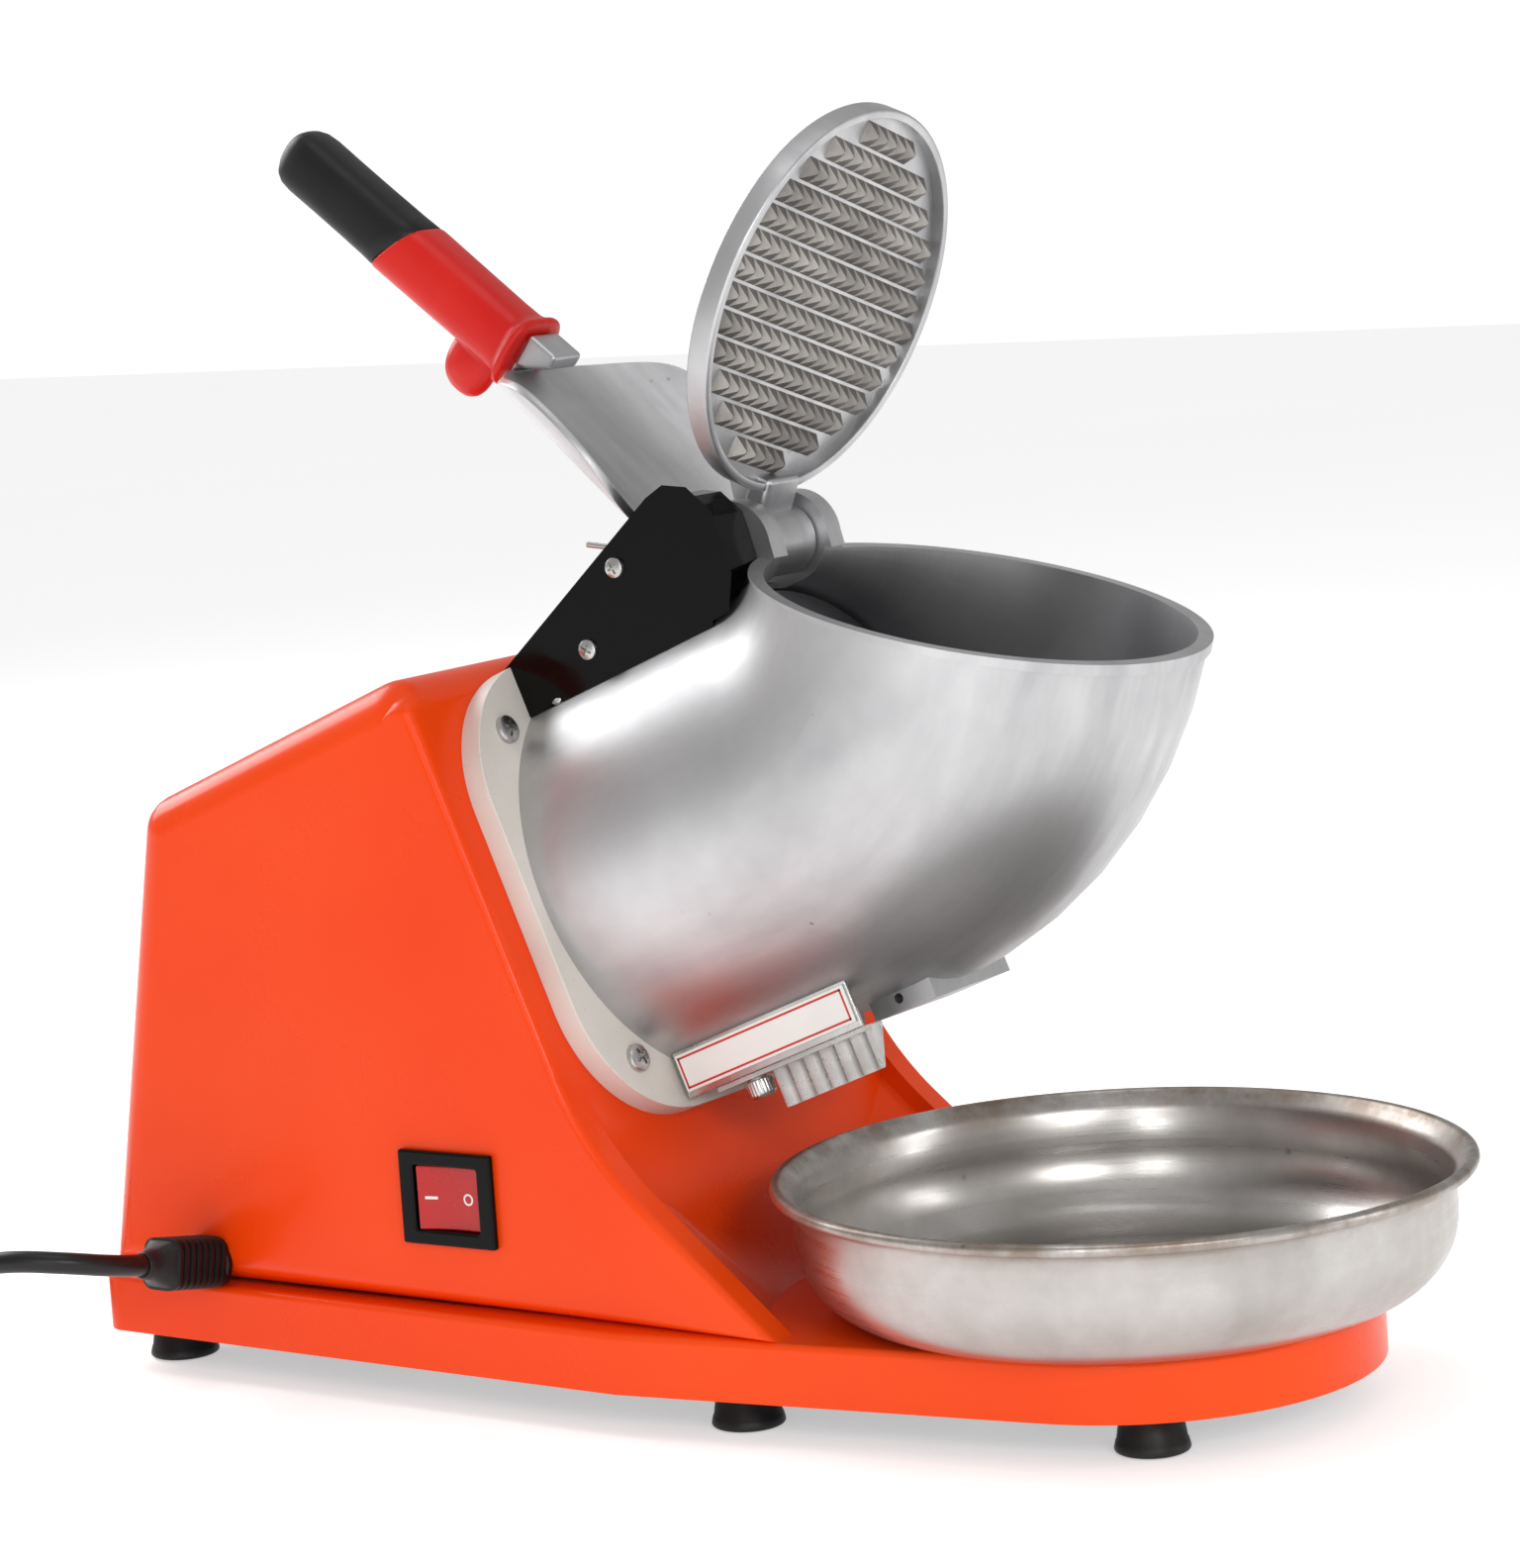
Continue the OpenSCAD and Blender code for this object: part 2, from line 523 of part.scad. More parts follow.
// ---- Lever ----
leaf_side = [[8, 8], [20, 14], [28, 27], [36, 40], [48, 44.5], [66, 45], [80, 43.5], [90, 36], [98, 23], [104, 10]];
module leaf() polygon(concat(leaf_side, [for (i = [1:len(leaf_side)]) let (p = leaf_side[len(leaf_side) - i])
    [p[0], -p[1]]]));
module lever_arm() color("lightgray") difference() {
    union() {
        translate(hinge) along_y(-hub_half, hub_half, hub_r);
        on_lever(shield_angle) intersection() {
            translate([0, 0, -2]) linear_extrude(40) leaf();
            translate([0, 0, -39]) difference() {
                along_x(0, 120, 60);
                along_x(-1, 121, 57);
            }
        }
        on_lever(shield_angle) side_sheet(-8, 8) polygon([[0, -8], [0, 9], [7, 19.5], [30, 19.5], [20, 6], [9, -5]]);
        on_lever(shield_angle) translate([20, -4, 19]) cube([80, 8, 6]);
        on_grip() translate([-8, -7.5, -6]) cube([8.5, 15, 13]);
        on_lever(plate_angle) translate([8, -9, -1]) cube([14, 18, 8]);
        on_lever(plate_angle + 32) translate([6, -5, -6]) cube([26, 10, 12]);
    }
    translate(hinge) along_y(-20, 20, pin_r + fit);
    on_grip() tang_bar(-7, 2);
}
module press_plate() color("silver") on_lever(plate_angle) translate([hinge_drop, 0, 0]) {
    difference() {
        cylinder(r = plate_r, h = 8);
        translate([0, 0, -1]) cylinder(r = plate_r - 3, h = 5);
        for (y = [-6, 6]) translate([-50, y, 0]) cylinder(r = 1.6, h = 20);
    }
    intersection() {
        cylinder(r = plate_r - 2.9, h = 5);
        for (i = [-6:6]) translate([i * 8.8, 70, 4.1]) rotate([90, 0, 0])
            linear_extrude(140) polygon([[-4.3, 0], [0, -4], [4.3, 0]]);
    }
}
module plate_bolts() color("silver") on_lever(plate_angle) translate([hinge_drop, 0, 0])
    for (y = [-6, 6]) translate([-50, y, 0]) {
        translate([0, 0, 4]) cylinder(r = 1.55, h = 9);
        translate([0, 0, 8]) cylinder(r = 3, h = 2);
    }
module on_grip() { on_lever(grip_root[1]) translate([grip_root[0], 0, 0])
    rotate([0, grip_root[1] - grip_angle, 0]) children(); }
module tang_bar(from, to) { translate([from, -5, -3]) cube([to - from, 10, 6]); }
module lever_tang() color("silver") on_grip() tang_bar(-7, sleeve_len + grip_len + 2);
module lever_sleeve() color("red") on_grip() difference() {
    union() {
        translate([3, -sleeve_w / 2, -sleeve_w / 2]) cube([sleeve_len, sleeve_w, sleeve_w]);
        translate([1, -13, -13]) cube([3, 26, 26]);
        side_sheet(-5, 5) hull() {
            translate([18, 18]) circle(7.5, $fn = 32);
            translate([18, 5]) circle(13, $fn = 32);
        }
    }
    tang_bar(-1, sleeve_len + 9);
}
module lever_grip() color("black") on_grip() difference() {
    union() {
        translate([sleeve_len + 3, -grip_r, -grip_r]) cube([grip_len, 2 * grip_r, 2 * grip_r]);
        translate([sleeve_len + 3 + grip_len, 0, 0]) along_y(-grip_r, grip_r, grip_r);
    }
    tang_bar(sleeve_len - 3, sleeve_len + grip_len + 2);
}

// ---- Bowl ----
// The outside of its wall, drawn in by t: a flat floor, a round corner, an upright wall and a flared lip
function bowl_wall(t) = concat([[0, t]],
    arc_pts([bowl_wall_r - bowl_corner_r, bowl_corner_r], bowl_corner_r - t, -90, 0),
    [[bowl_wall_r - t, bowl_h - 6], [bowl_r - bead_r - t, bowl_h - bead_r + t], [0, bowl_h - bead_r + t]]);
module bowl() color("silver") translate([bowl_x, 0, deck_z]) rotate_extrude() {
    difference() {
        polygon(bowl_wall(0));
        polygon(bowl_wall(bowl_t));
    }
    translate([bowl_r - bead_r, bowl_h - bead_r]) circle(bead_r, $fn = 24);
}

base_tray();
bottom_cover();
bottom_screws();
foot_rear_left();
foot_rear_right();
foot_mid_left();
foot_mid_right();
foot_front_left();
foot_front_right();
foot_screws();
housing_shell();
flange_plate();
flange_screws();
hopper();
hinge_pin();
hinge_clip();
outlet_guard();
label_plate();
outlet_chute();
thumb_screw();
switch_cover();
cover_screws();
safety_switch();
safety_wire();
switch_bezel();
rocker();
switch_body();
strain_relief();
mains_cord();
cord_coil();
plug_body();
plug_pins();
terminal_block();
wiring();
capacitor();
capacitor_clip();
motor_bracket();
motor_front();
motor_rear();
motor_stator();
motor_bolts();
front_bearing();
rear_bearing();
shaft_seal();
motor_shaft();
motor_core();
motor_fan();
ice_paddles();
blade_disc();
blades();
blade_screws();
shaft_nut();
lever_arm();
press_plate();
plate_bolts();
lever_tang();
lever_sleeve();
lever_grip();
bowl();
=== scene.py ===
"""Looks for the shaved ice machine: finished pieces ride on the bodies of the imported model."""

import json
import math

import bmesh
import bpy
from mathutils import Matrix, Vector


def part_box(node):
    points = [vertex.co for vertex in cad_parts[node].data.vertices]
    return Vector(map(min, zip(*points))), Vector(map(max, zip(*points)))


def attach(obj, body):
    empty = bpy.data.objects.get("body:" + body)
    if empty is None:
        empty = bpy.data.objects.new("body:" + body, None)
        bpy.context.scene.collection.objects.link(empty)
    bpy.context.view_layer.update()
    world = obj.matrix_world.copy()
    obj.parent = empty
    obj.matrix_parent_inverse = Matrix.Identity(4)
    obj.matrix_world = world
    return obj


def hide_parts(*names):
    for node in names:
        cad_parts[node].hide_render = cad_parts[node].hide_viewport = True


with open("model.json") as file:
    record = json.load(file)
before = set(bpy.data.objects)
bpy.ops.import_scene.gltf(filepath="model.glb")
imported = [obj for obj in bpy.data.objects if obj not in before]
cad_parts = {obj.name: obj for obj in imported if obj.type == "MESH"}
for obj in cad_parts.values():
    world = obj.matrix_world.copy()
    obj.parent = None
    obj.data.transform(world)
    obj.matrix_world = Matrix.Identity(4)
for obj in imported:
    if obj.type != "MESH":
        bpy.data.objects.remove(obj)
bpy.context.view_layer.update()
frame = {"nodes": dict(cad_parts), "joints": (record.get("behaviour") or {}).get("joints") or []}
JOINTS = {joint["name"]: joint for joint in frame["joints"]}
MM = 0.001

# ---- Frames: the machine's own directions ----
TILT = math.radians(22)
HINGE = Vector(JOINTS["lever_hinge"]["pos_m"])
HINGE_DROP = 0.079
DRUM_LEN = 0.080
DRUM_R = 0.070
PLATE_ANGLE = math.radians(68)
SHIELD_ANGLE = math.radians(137.5)
GRIP_ROOT_ANGLE = math.radians(144.8)
GRIP_ANGLE = math.radians(142)


def frame_at(origin, angle):
    """A frame whose X leans up by the angle from the machine's X, about Y."""
    along = Vector((math.cos(angle), 0, math.sin(angle)))
    up = Vector((-math.sin(angle), 0, math.cos(angle)))
    turn = Matrix((along, Vector((0, 1, 0)), up)).transposed().to_4x4()
    return Matrix.Translation(origin) @ turn


def on_lever(angle):
    return frame_at(HINGE, angle)


drum_turn = frame_at(Vector((0, 0, 0)), TILT)
DRUM = frame_at(HINGE - drum_turn @ Vector((DRUM_LEN, 0, HINGE_DROP)), TILT)
GRIP = frame_at(on_lever(GRIP_ROOT_ANGLE) @ Vector((0.105, 0, 0)), GRIP_ANGLE)
PLATE = on_lever(PLATE_ANGLE) @ Matrix.Translation((HINGE_DROP, 0, 0))
WORLD = Matrix.Identity(4)


# ---- Camera ----
def make_camera():
    azimuth, elevation, roll = (math.radians(a) for a in (34.353, 7.8455, -3.836))
    back = Vector((math.sin(azimuth) * math.cos(elevation), -math.cos(azimuth) * math.cos(elevation),
                   math.sin(elevation)))
    right = Vector((math.cos(azimuth), math.sin(azimuth), 0))
    above = back.cross(right)
    side = math.cos(roll) * right + math.sin(roll) * above
    top = -math.sin(roll) * right + math.cos(roll) * above
    data = bpy.data.cameras.new("camera")
    data.lens, data.sensor_width, data.sensor_fit = 107.05, 36, "AUTO"
    data.clip_end = 20
    camera = bpy.data.objects.new("camera", data)
    bpy.context.scene.collection.objects.link(camera)
    camera.matrix_world = (Matrix.Translation(Vector((-0.006, 0, 0.1867)) + 1.4682 * back)
                           @ Matrix((side, top, back)).transposed().to_4x4())
    bpy.context.scene.camera = camera


make_camera()


# ---- Shader maths ----
class Socket:
    """One output in a material, with arithmetic that adds Math nodes."""

    def __init__(self, tree, link):
        self.tree, self.link = tree, link

    def _math(self, operation, *values):
        return self.tree.add("ShaderNodeMath", {"operation": operation}, dict(enumerate(values)))

    def __add__(self, other):
        return self._math("ADD", self, other)

    def __mul__(self, other):
        return self._math("MULTIPLY", self, other)

    def __rsub__(self, other):
        return self._math("SUBTRACT", other, self)

    __radd__ = __add__
    __rmul__ = __mul__

    def clamp(self):
        return self._math("MINIMUM", self._math("MAXIMUM", self, 0.0), 1.0)


class Finish:
    """A material: its constant sockets, and the nodes that vary over a surface."""

    def __init__(self, name, **constants):
        self.material = bpy.data.materials.new(name)
        self.material.use_nodes = True
        self.nodes = self.material.node_tree.nodes
        self.shader = self.nodes["Principled BSDF"]
        for socket, value in constants.items():
            self.shader.inputs[socket.replace("_", " ")].default_value = value
        self.place = self.add("ShaderNodeTexCoord", output="Object")

    def add(self, kind, settings=None, inputs=None, output=0):
        node = self.nodes.new(kind)
        for setting, value in (settings or {}).items():
            if setting == "stops":
                self._stops(node.color_ramp.elements, value)
            else:
                setattr(node, setting, value)
        for key, value in (inputs or {}).items():
            if isinstance(value, Socket):
                self.material.node_tree.links.new(value.link, node.inputs[key])
            else:
                node.inputs[key].default_value = value
        return Socket(self, node.outputs[output])

    @staticmethod
    def _stops(elements, stops):
        while len(elements) < len(stops):
            elements.new(0.5)
        for element, (position, colour) in zip(elements, stops):
            element.position = position
            element.color = colour

    def stretch(self, scale, turn=(0, 0, 0)):
        return self.add("ShaderNodeMapping", inputs={"Vector": self.place, "Scale": scale, "Rotation": turn})

    def noise(self, scale, detail=3.0, rough=0.5, at=None):
        return self.add("ShaderNodeTexNoise", inputs={
            "Vector": at or self.place, "Scale": scale, "Detail": detail, "Roughness": rough}, output="Fac")

    def cells(self, scale, at=None):
        return self.add("ShaderNodeTexVoronoi", inputs={"Vector": at or self.place, "Scale": scale},
                        output="Distance")

    def ramp(self, value, low, high, low_value=0.0, high_value=1.0):
        return self.add("ShaderNodeMapRange", inputs={
            "Value": value, "From Min": low, "From Max": high, "To Min": low_value, "To Max": high_value},
            output="Result")

    def mix(self, factor, first, second):
        return self.add("ShaderNodeMix", {"data_type": "RGBA"}, {0: factor, 6: first, 7: second}, output=2)

    def bump(self, height, strength, distance, under=None):
        inputs = {"Height": height, "Strength": strength, "Distance": distance}
        if under:
            inputs["Normal"] = under
        return self.add("ShaderNodeBump", inputs=inputs, output="Normal")

    def drive(self, **sockets):
        for socket, value in sockets.items():
            self.material.node_tree.links.new(value.link, self.shader.inputs[socket.replace("_", " ")])
        return self.material


def rgb(red, green, blue):
    """A linear colour from the usual 0 to 255 values."""
    values = (red, green, blue)
    return tuple(((c / 255 + 0.055) / 1.055) ** 2.4 if c > 10 else c / 3295 for c in values) + (1.0,)


def moulded(name, colour, shade, roughness, grain=900, depth=0.00004, strength=0.25, **constants):
    """Plastic or rubber: a little mottled, with a fine moulded grain and handling marks."""
    f = Finish(name, **constants)
    marks = f.noise(55, 5, 0.65)
    colour_now = f.mix(f.ramp(f.noise(18, 4), 0.35, 0.65), colour, shade)
    rough_now = f.ramp(marks, 0.3, 0.7, roughness - 0.06, roughness + 0.09)
    skin = f.bump(f.noise(grain, 2), strength, depth)
    return f.drive(Base_Color=colour_now, Roughness=rough_now, Normal=skin)


def bare_metal(name, colour, shade, roughness, grain=(900, 900, 60), strength=0.2, **constants):
    """Metal with a drawn grain, dulled in patches."""
    f = Finish(name, Metallic=1.0, **constants)
    drawn = f.noise(1, 3, 0.6, f.stretch(grain))
    patches = f.noise(30, 5, 0.6)
    colour_now = f.mix(f.ramp(patches, 0.35, 0.7), colour, shade)
    rough_now = f.ramp(patches * 0.6 + drawn * 0.4, 0.3, 0.7, roughness - 0.07, roughness + 0.12)
    return f.drive(Base_Color=colour_now, Roughness=rough_now, Normal=f.bump(drawn, strength, 0.00003))


def orange_paint():
    f = Finish("orange_paint", Coat_Roughness=0.08, Specular_IOR_Level=0.20)
    broad = f.ramp(f.noise(7, 4), 0.3, 0.7)
    dust = f.ramp(f.noise(160, 6, 0.7), 0.62, 0.78)
    base = f.mix(broad, rgb(236, 62, 4), rgb(242, 74, 9))
    base = f.mix(dust * 0.05, base, rgb(255, 150, 100))
    peel = f.bump(f.noise(420, 2), 0.10, 0.00006)
    rough = f.ramp(f.noise(24, 5, 0.6), 0.3, 0.75, 0.25, 0.36) + dust * 0.08
    return f.drive(Base_Color=base, Roughness=rough, Coat_Weight=f.ramp(broad, 0, 1, 0.03, 0.08), Normal=peel)


def cream_enamel():
    f = Finish("cream_enamel")
    specks = f.ramp(f.cells(260), 0.06, 0.13, 1.0, 0.0)
    base = f.mix(f.ramp(f.noise(26, 5), 0.3, 0.7), rgb(224, 218, 210), rgb(205, 199, 190))
    base = f.mix(specks * 0.22, base, rgb(150, 142, 132))
    rough = f.ramp(f.noise(60, 4), 0.3, 0.7, 0.36, 0.5)
    return f.drive(Base_Color=base, Roughness=rough, Normal=f.bump(f.noise(520, 4), 0.25, 0.00010))


def cast_aluminium():
    f = Finish("cast_aluminium", Metallic=1.0)
    streaks = f.noise(1, 4, 0.6, f.stretch((14, 90, 14), (0, TILT, 0)))
    clouds = f.noise(16, 5, 0.6)
    pits = f.ramp(f.cells(120), 0.03, 0.10, 1.0, 0.0) * f.ramp(f.noise(22, 3), 0.56, 0.66)
    dents = f.ramp(f.noise(34, 2), 0.60, 0.80)
    base = f.mix(f.ramp(clouds * 0.5 + streaks * 0.5, 0.35, 0.65), rgb(206, 206, 207), rgb(178, 178, 180))
    base = f.mix(pits * 0.55, base, rgb(96, 94, 92))
    rough = f.ramp(streaks * 0.6 + clouds * 0.4, 0.35, 0.65, 0.36, 0.50) + pits * 0.2
    skin = f.bump(f.noise(700, 3), 0.10, 0.00006)
    skin = f.bump(1 - dents, 0.16, 0.0005, skin)
    return f.drive(Base_Color=base, Roughness=rough, Normal=f.bump(1 - pits, 0.5, 0.0003, skin))


def spun_steel():
    """The bowl's steel: spun rings, a stained rim and a few dark spots."""
    low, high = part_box("bowl")
    f = Finish("spun_steel", Metallic=1.0)
    centred = f.add("ShaderNodeMapping", inputs={
        "Vector": f.place, "Location": (-(low.x + high.x) / 2, -(low.y + high.y) / 2, 0)})
    split = f.add("ShaderNodeSeparateXYZ", inputs={0: centred})
    height = f.add("ShaderNodeSeparateXYZ", inputs={0: centred}, output=2)
    reach = f.add("ShaderNodeVectorMath", {"operation": "LENGTH"}, {0: f.add(
        "ShaderNodeVectorMath", {"operation": "MULTIPLY"}, {0: centred, 1: (1, 1, 0)})}, output="Value")
    rings = f.add("ShaderNodeTexNoise", {"noise_dimensions": "2D"}, {
        "Vector": f.add("ShaderNodeCombineXYZ", inputs={0: reach * 900 + height * 900, 1: split * 6}),
        "Scale": 1.0, "Detail": 3.0}, output="Fac")
    stain = f.ramp(height, high.z - 0.010, high.z - 0.001) * f.ramp(f.noise(42, 5, 0.7), 0.36, 0.62)
    spots = f.ramp(f.cells(70), 0.05, 0.11, 1.0, 0.0) * f.ramp(f.noise(30, 3), 0.52, 0.60)
    clouds = f.noise(20, 5, 0.6)
    base = f.mix(f.ramp(clouds, 0.3, 0.7), rgb(206, 203, 200), rgb(168, 163, 158))
    base = f.mix((stain * 0.75).clamp(), base, rgb(126, 104, 84))
    base = f.mix((spots * 0.65).clamp(), base, rgb(84, 74, 66))
    rough = f.ramp(clouds * 0.6 + rings * 0.4, 0.3, 0.7, 0.22, 0.40) + stain * 0.12
    return f.drive(Base_Color=base, Roughness=rough, Normal=f.bump(rings, 0.12, 0.00004))


def clear_plastic():
    f = Finish("clear_plastic", Transmission_Weight=0.45, IOR=1.46)
    frost = f.noise(90, 5, 0.6)
    base = f.mix(f.ramp(frost, 0.35, 0.65), rgb(250, 250, 248), rgb(226, 226, 222))
    return f.drive(Base_Color=base, Roughness=f.ramp(frost, 0.3, 0.7, 0.18, 0.4),
                   Normal=f.bump(f.noise(300, 3), 0.2, 0.0001))


def black_gloss():
    f = Finish("black_gloss", Coat_Roughness=0.05, Specular_IOR_Level=0.1)
    smears = f.noise(48, 6, 0.65)
    base = f.mix(f.ramp(smears, 0.4, 0.75), rgb(6, 6, 6), rgb(14, 13, 13))
    return f.drive(Base_Color=base, Roughness=f.ramp(smears, 0.3, 0.7, 0.10, 0.26),
                   Coat_Weight=f.ramp(smears, 0.3, 0.7, 0.10, 0.04),
                   Normal=f.bump(f.noise(260, 2), 0.06, 0.00005))


FINISHES = {
    "orange_shell": orange_paint(),
    "dark_sheet": bare_metal("dark_sheet", rgb(92, 92, 96), rgb(70, 70, 74), 0.45),
    "steel": bare_metal("bright_steel", rgb(206, 205, 202), rgb(172, 170, 168), 0.26),
    "foot_rubber": moulded("foot_rubber", rgb(12, 12, 12), rgb(24, 24, 24), 0.46, 500, 0.00008,
                           Specular_IOR_Level=0.35),
    "cream_flange": cream_enamel(),
    "cast_aluminium": cast_aluminium(),
    "dark_steel": bare_metal("dark_steel", rgb(112, 112, 116), rgb(86, 86, 92), 0.38),
    "black_gloss": black_gloss(),
    "label": moulded("label_white", rgb(244, 242, 238), rgb(234, 231, 226), 0.38, 500, 0.00003, 0.12),
    "clear_plastic": clear_plastic(),
    "red_rocker": moulded("red_rocker", rgb(214, 26, 20), rgb(190, 16, 14), 0.24, 400, 0.00002, 0.1,
                          Transmission_Weight=0.12),
    "red_sleeve": moulded("red_sleeve", rgb(216, 34, 24), rgb(200, 24, 18), 0.34, 420, 0.00005, 0.2,
                          Specular_IOR_Level=0.3),
    "black_rubber": moulded("black_rubber", rgb(9, 9, 10), rgb(18, 18, 19), 0.42, 520, 0.00008, 0.3,
                            Specular_IOR_Level=0.35),
    "cord_black": moulded("cord_black", rgb(9, 9, 10), rgb(18, 18, 19), 0.36, 380, 0.00006, 0.25,
                          Specular_IOR_Level=0.4),
    "brass": bare_metal("brass", rgb(222, 184, 96), rgb(190, 152, 74), 0.24),
    "ivory_plastic": moulded("ivory_plastic", rgb(232, 224, 204), rgb(216, 206, 184), 0.42),
    "wire_brown": moulded("wire_brown", rgb(120, 66, 34), rgb(98, 52, 28), 0.4),
    "bowl_steel": spun_steel(),
    "cast_teeth": bare_metal("cast_teeth", rgb(158, 154, 150), rgb(122, 118, 115), 0.5, (420, 420, 420), 0.5),
    "red_print": moulded("red_print", rgb(206, 52, 44), rgb(190, 44, 40), 0.42, 500, 0.00003, 0.1),
    "white_print": moulded("white_print", rgb(244, 240, 236), rgb(230, 226, 222), 0.4, 500, 0.00003, 0.1),
}


# ---- Mesh tools ----
def new_object(name, bm, place=WORLD, finishes=("steel",)):
    """A finished mesh at the origin, with its place in its vertices and its faces outward."""
    bmesh.ops.remove_doubles(bm, verts=bm.verts, dist=1e-6)
    bmesh.ops.transform(bm, matrix=place, verts=bm.verts)
    bmesh.ops.recalc_face_normals(bm, faces=bm.faces)
    mesh = bpy.data.meshes.new(name)
    bm.to_mesh(mesh)
    bm.free()
    for finish in finishes:
        mesh.materials.append(FINISHES[finish])
    obj = bpy.data.objects.new(name, mesh)
    bpy.context.scene.collection.objects.link(obj)
    return obj


def smooth(obj, angle=35):
    """Smooth shading that breaks at edges sharper than the angle."""
    obj.data.shade_smooth()
    bm = bmesh.new()
    bm.from_mesh(obj.data)
    for edge in bm.edges:
        edge.smooth = not (edge.is_manifold and edge.calc_face_angle(0) > math.radians(angle))
    bm.to_mesh(obj.data)
    bm.free()
    return obj


def bevelled(obj, width, segments=2, angle=35):
    """Rounds the sharp edges, and keeps the flats flat."""
    smooth(obj, angle)
    bevel = obj.modifiers.new("edges", "BEVEL")
    bevel.width, bevel.segments, bevel.limit_method = width, segments, "ANGLE"
    bevel.angle_limit = math.radians(angle)
    bevel.miter_outer = "MITER_ARC"
    bevel.use_clamp_overlap = True
    weighted = obj.modifiers.new("flats", "WEIGHTED_NORMAL")
    weighted.keep_sharp = False
    weighted.weight = 80
    return baked(obj)


def baked(obj):
    """The object with its modifiers worked into its mesh."""
    graph = bpy.context.evaluated_depsgraph_get()
    mesh = bpy.data.meshes.new_from_object(obj.evaluated_get(graph), depsgraph=graph)
    obj.modifiers.clear()
    old = obj.data
    obj.data = mesh
    bpy.data.meshes.remove(old)
    return obj


def cut(obj, *tools):
    """Takes the tools' shapes out of the object."""
    for tool in tools:
        step = obj.modifiers.new("cut", "BOOLEAN")
        step.operation, step.object, step.solver = "DIFFERENCE", tool, "EXACT"
    baked(obj)
    for tool in tools:
        bpy.data.objects.remove(tool)
    return obj


def add_piece(obj, body, nodes=()):
    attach(obj, body)
    if nodes:
        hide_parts(*nodes)
    return obj


def copy_of(node, name, finish, width, segments=2, angle=35):
    """A node's own shape with its seams merged and its edges rounded."""
    bm = bmesh.new()
    source = frame["nodes"][node].data
    for vertex in source.vertices:
        bm.verts.new(vertex.co)
    bm.verts.ensure_lookup_table()
    for polygon in source.polygons:
        try:
            bm.faces.new([bm.verts[i] for i in polygon.vertices])
        except ValueError:
            continue
    bmesh.ops.remove_doubles(bm, verts=bm.verts, dist=1e-5)
    bmesh.ops.dissolve_degenerate(bm, dist=1e-5, edges=bm.edges)
    bmesh.ops.dissolve_limit(bm, angle_limit=math.radians(0.6), verts=bm.verts, edges=bm.edges)
    return bevelled(new_object(name, bm, finishes=(finish,)), width, segments, angle)


def add_copy(node, name, slot_name, width, segments=2, angle=35):
    add_piece(copy_of(node, name, slot_name, width, segments, angle), "base", (node,))


def lathe(bm, profile, turns=96, place=WORLD):
    """Spins a profile of (radius, height) points about Z; points on the axis are shared."""
    rings = []
    for radius, height in profile:
        count = 1 if radius < 1e-7 else turns
        rings.append([bm.verts.new(place @ Vector((radius * math.cos(math.tau * k / count),
                                                  radius * math.sin(math.tau * k / count), height)))
                      for k in range(count)])
    for lower, upper in zip(rings, rings[1:]):
        for k in range(turns):
            corners = [lower[k % len(lower)], lower[(k + 1) % len(lower)],
                       upper[(k + 1) % len(upper)], upper[k % len(upper)]]
            corners = list(dict.fromkeys(corners))
            if len(corners) > 2:
                bm.faces.new(corners)


def arc(centre, radius, start, end, steps=8):
    """Points round a centre, between two angles in degrees."""
    angles = (math.radians(start + (end - start) * i / steps) for i in range(steps + 1))
    return [(centre[0] + radius * math.cos(a), centre[1] + radius * math.sin(a)) for a in angles]


def prism(bm, outline, low, high, place=WORLD):
    """Extrudes an outline of (x, z) points along Y."""
    ends = [[bm.verts.new(place @ Vector((x, y, z))) for x, z in outline] for y in (low, high)]
    bm.faces.new(ends[0])
    bm.faces.new(ends[1][::-1])
    count = len(outline)
    for k in range(count):
        bm.faces.new([ends[0][k], ends[0][(k + 1) % count], ends[1][(k + 1) % count], ends[1][k]])


def block(bm, low, high, place=WORLD):
    (x0, y0, z0), (x1, y1, z1) = low, high
    prism(bm, [(x0, z0), (x1, z0), (x1, z1), (x0, z1)], y0, y1, place)


def rounded_outline(width, height, power=4.0, count=32):
    """A soft rectangle as a superellipse."""
    points = []
    for k in range(count):
        a = math.tau * k / count
        c, s = math.cos(a), math.sin(a)
        points.append((math.copysign(abs(c) ** (2 / power), c) * width / 2,
                       math.copysign(abs(s) ** (2 / power), s) * height / 2))
    return points


def loft(bm, rings):
    """Skins closed rings of 3-D points and caps both ends."""
    made = [[bm.verts.new(point) for point in ring] for ring in rings]
    count = len(made[0])
    for lower, upper in zip(made, made[1:]):
        for k in range(count):
            bm.faces.new([lower[k], lower[(k + 1) % count], upper[(k + 1) % count], upper[k]])
    bm.faces.new(made[0][::-1])
    bm.faces.new(made[-1])


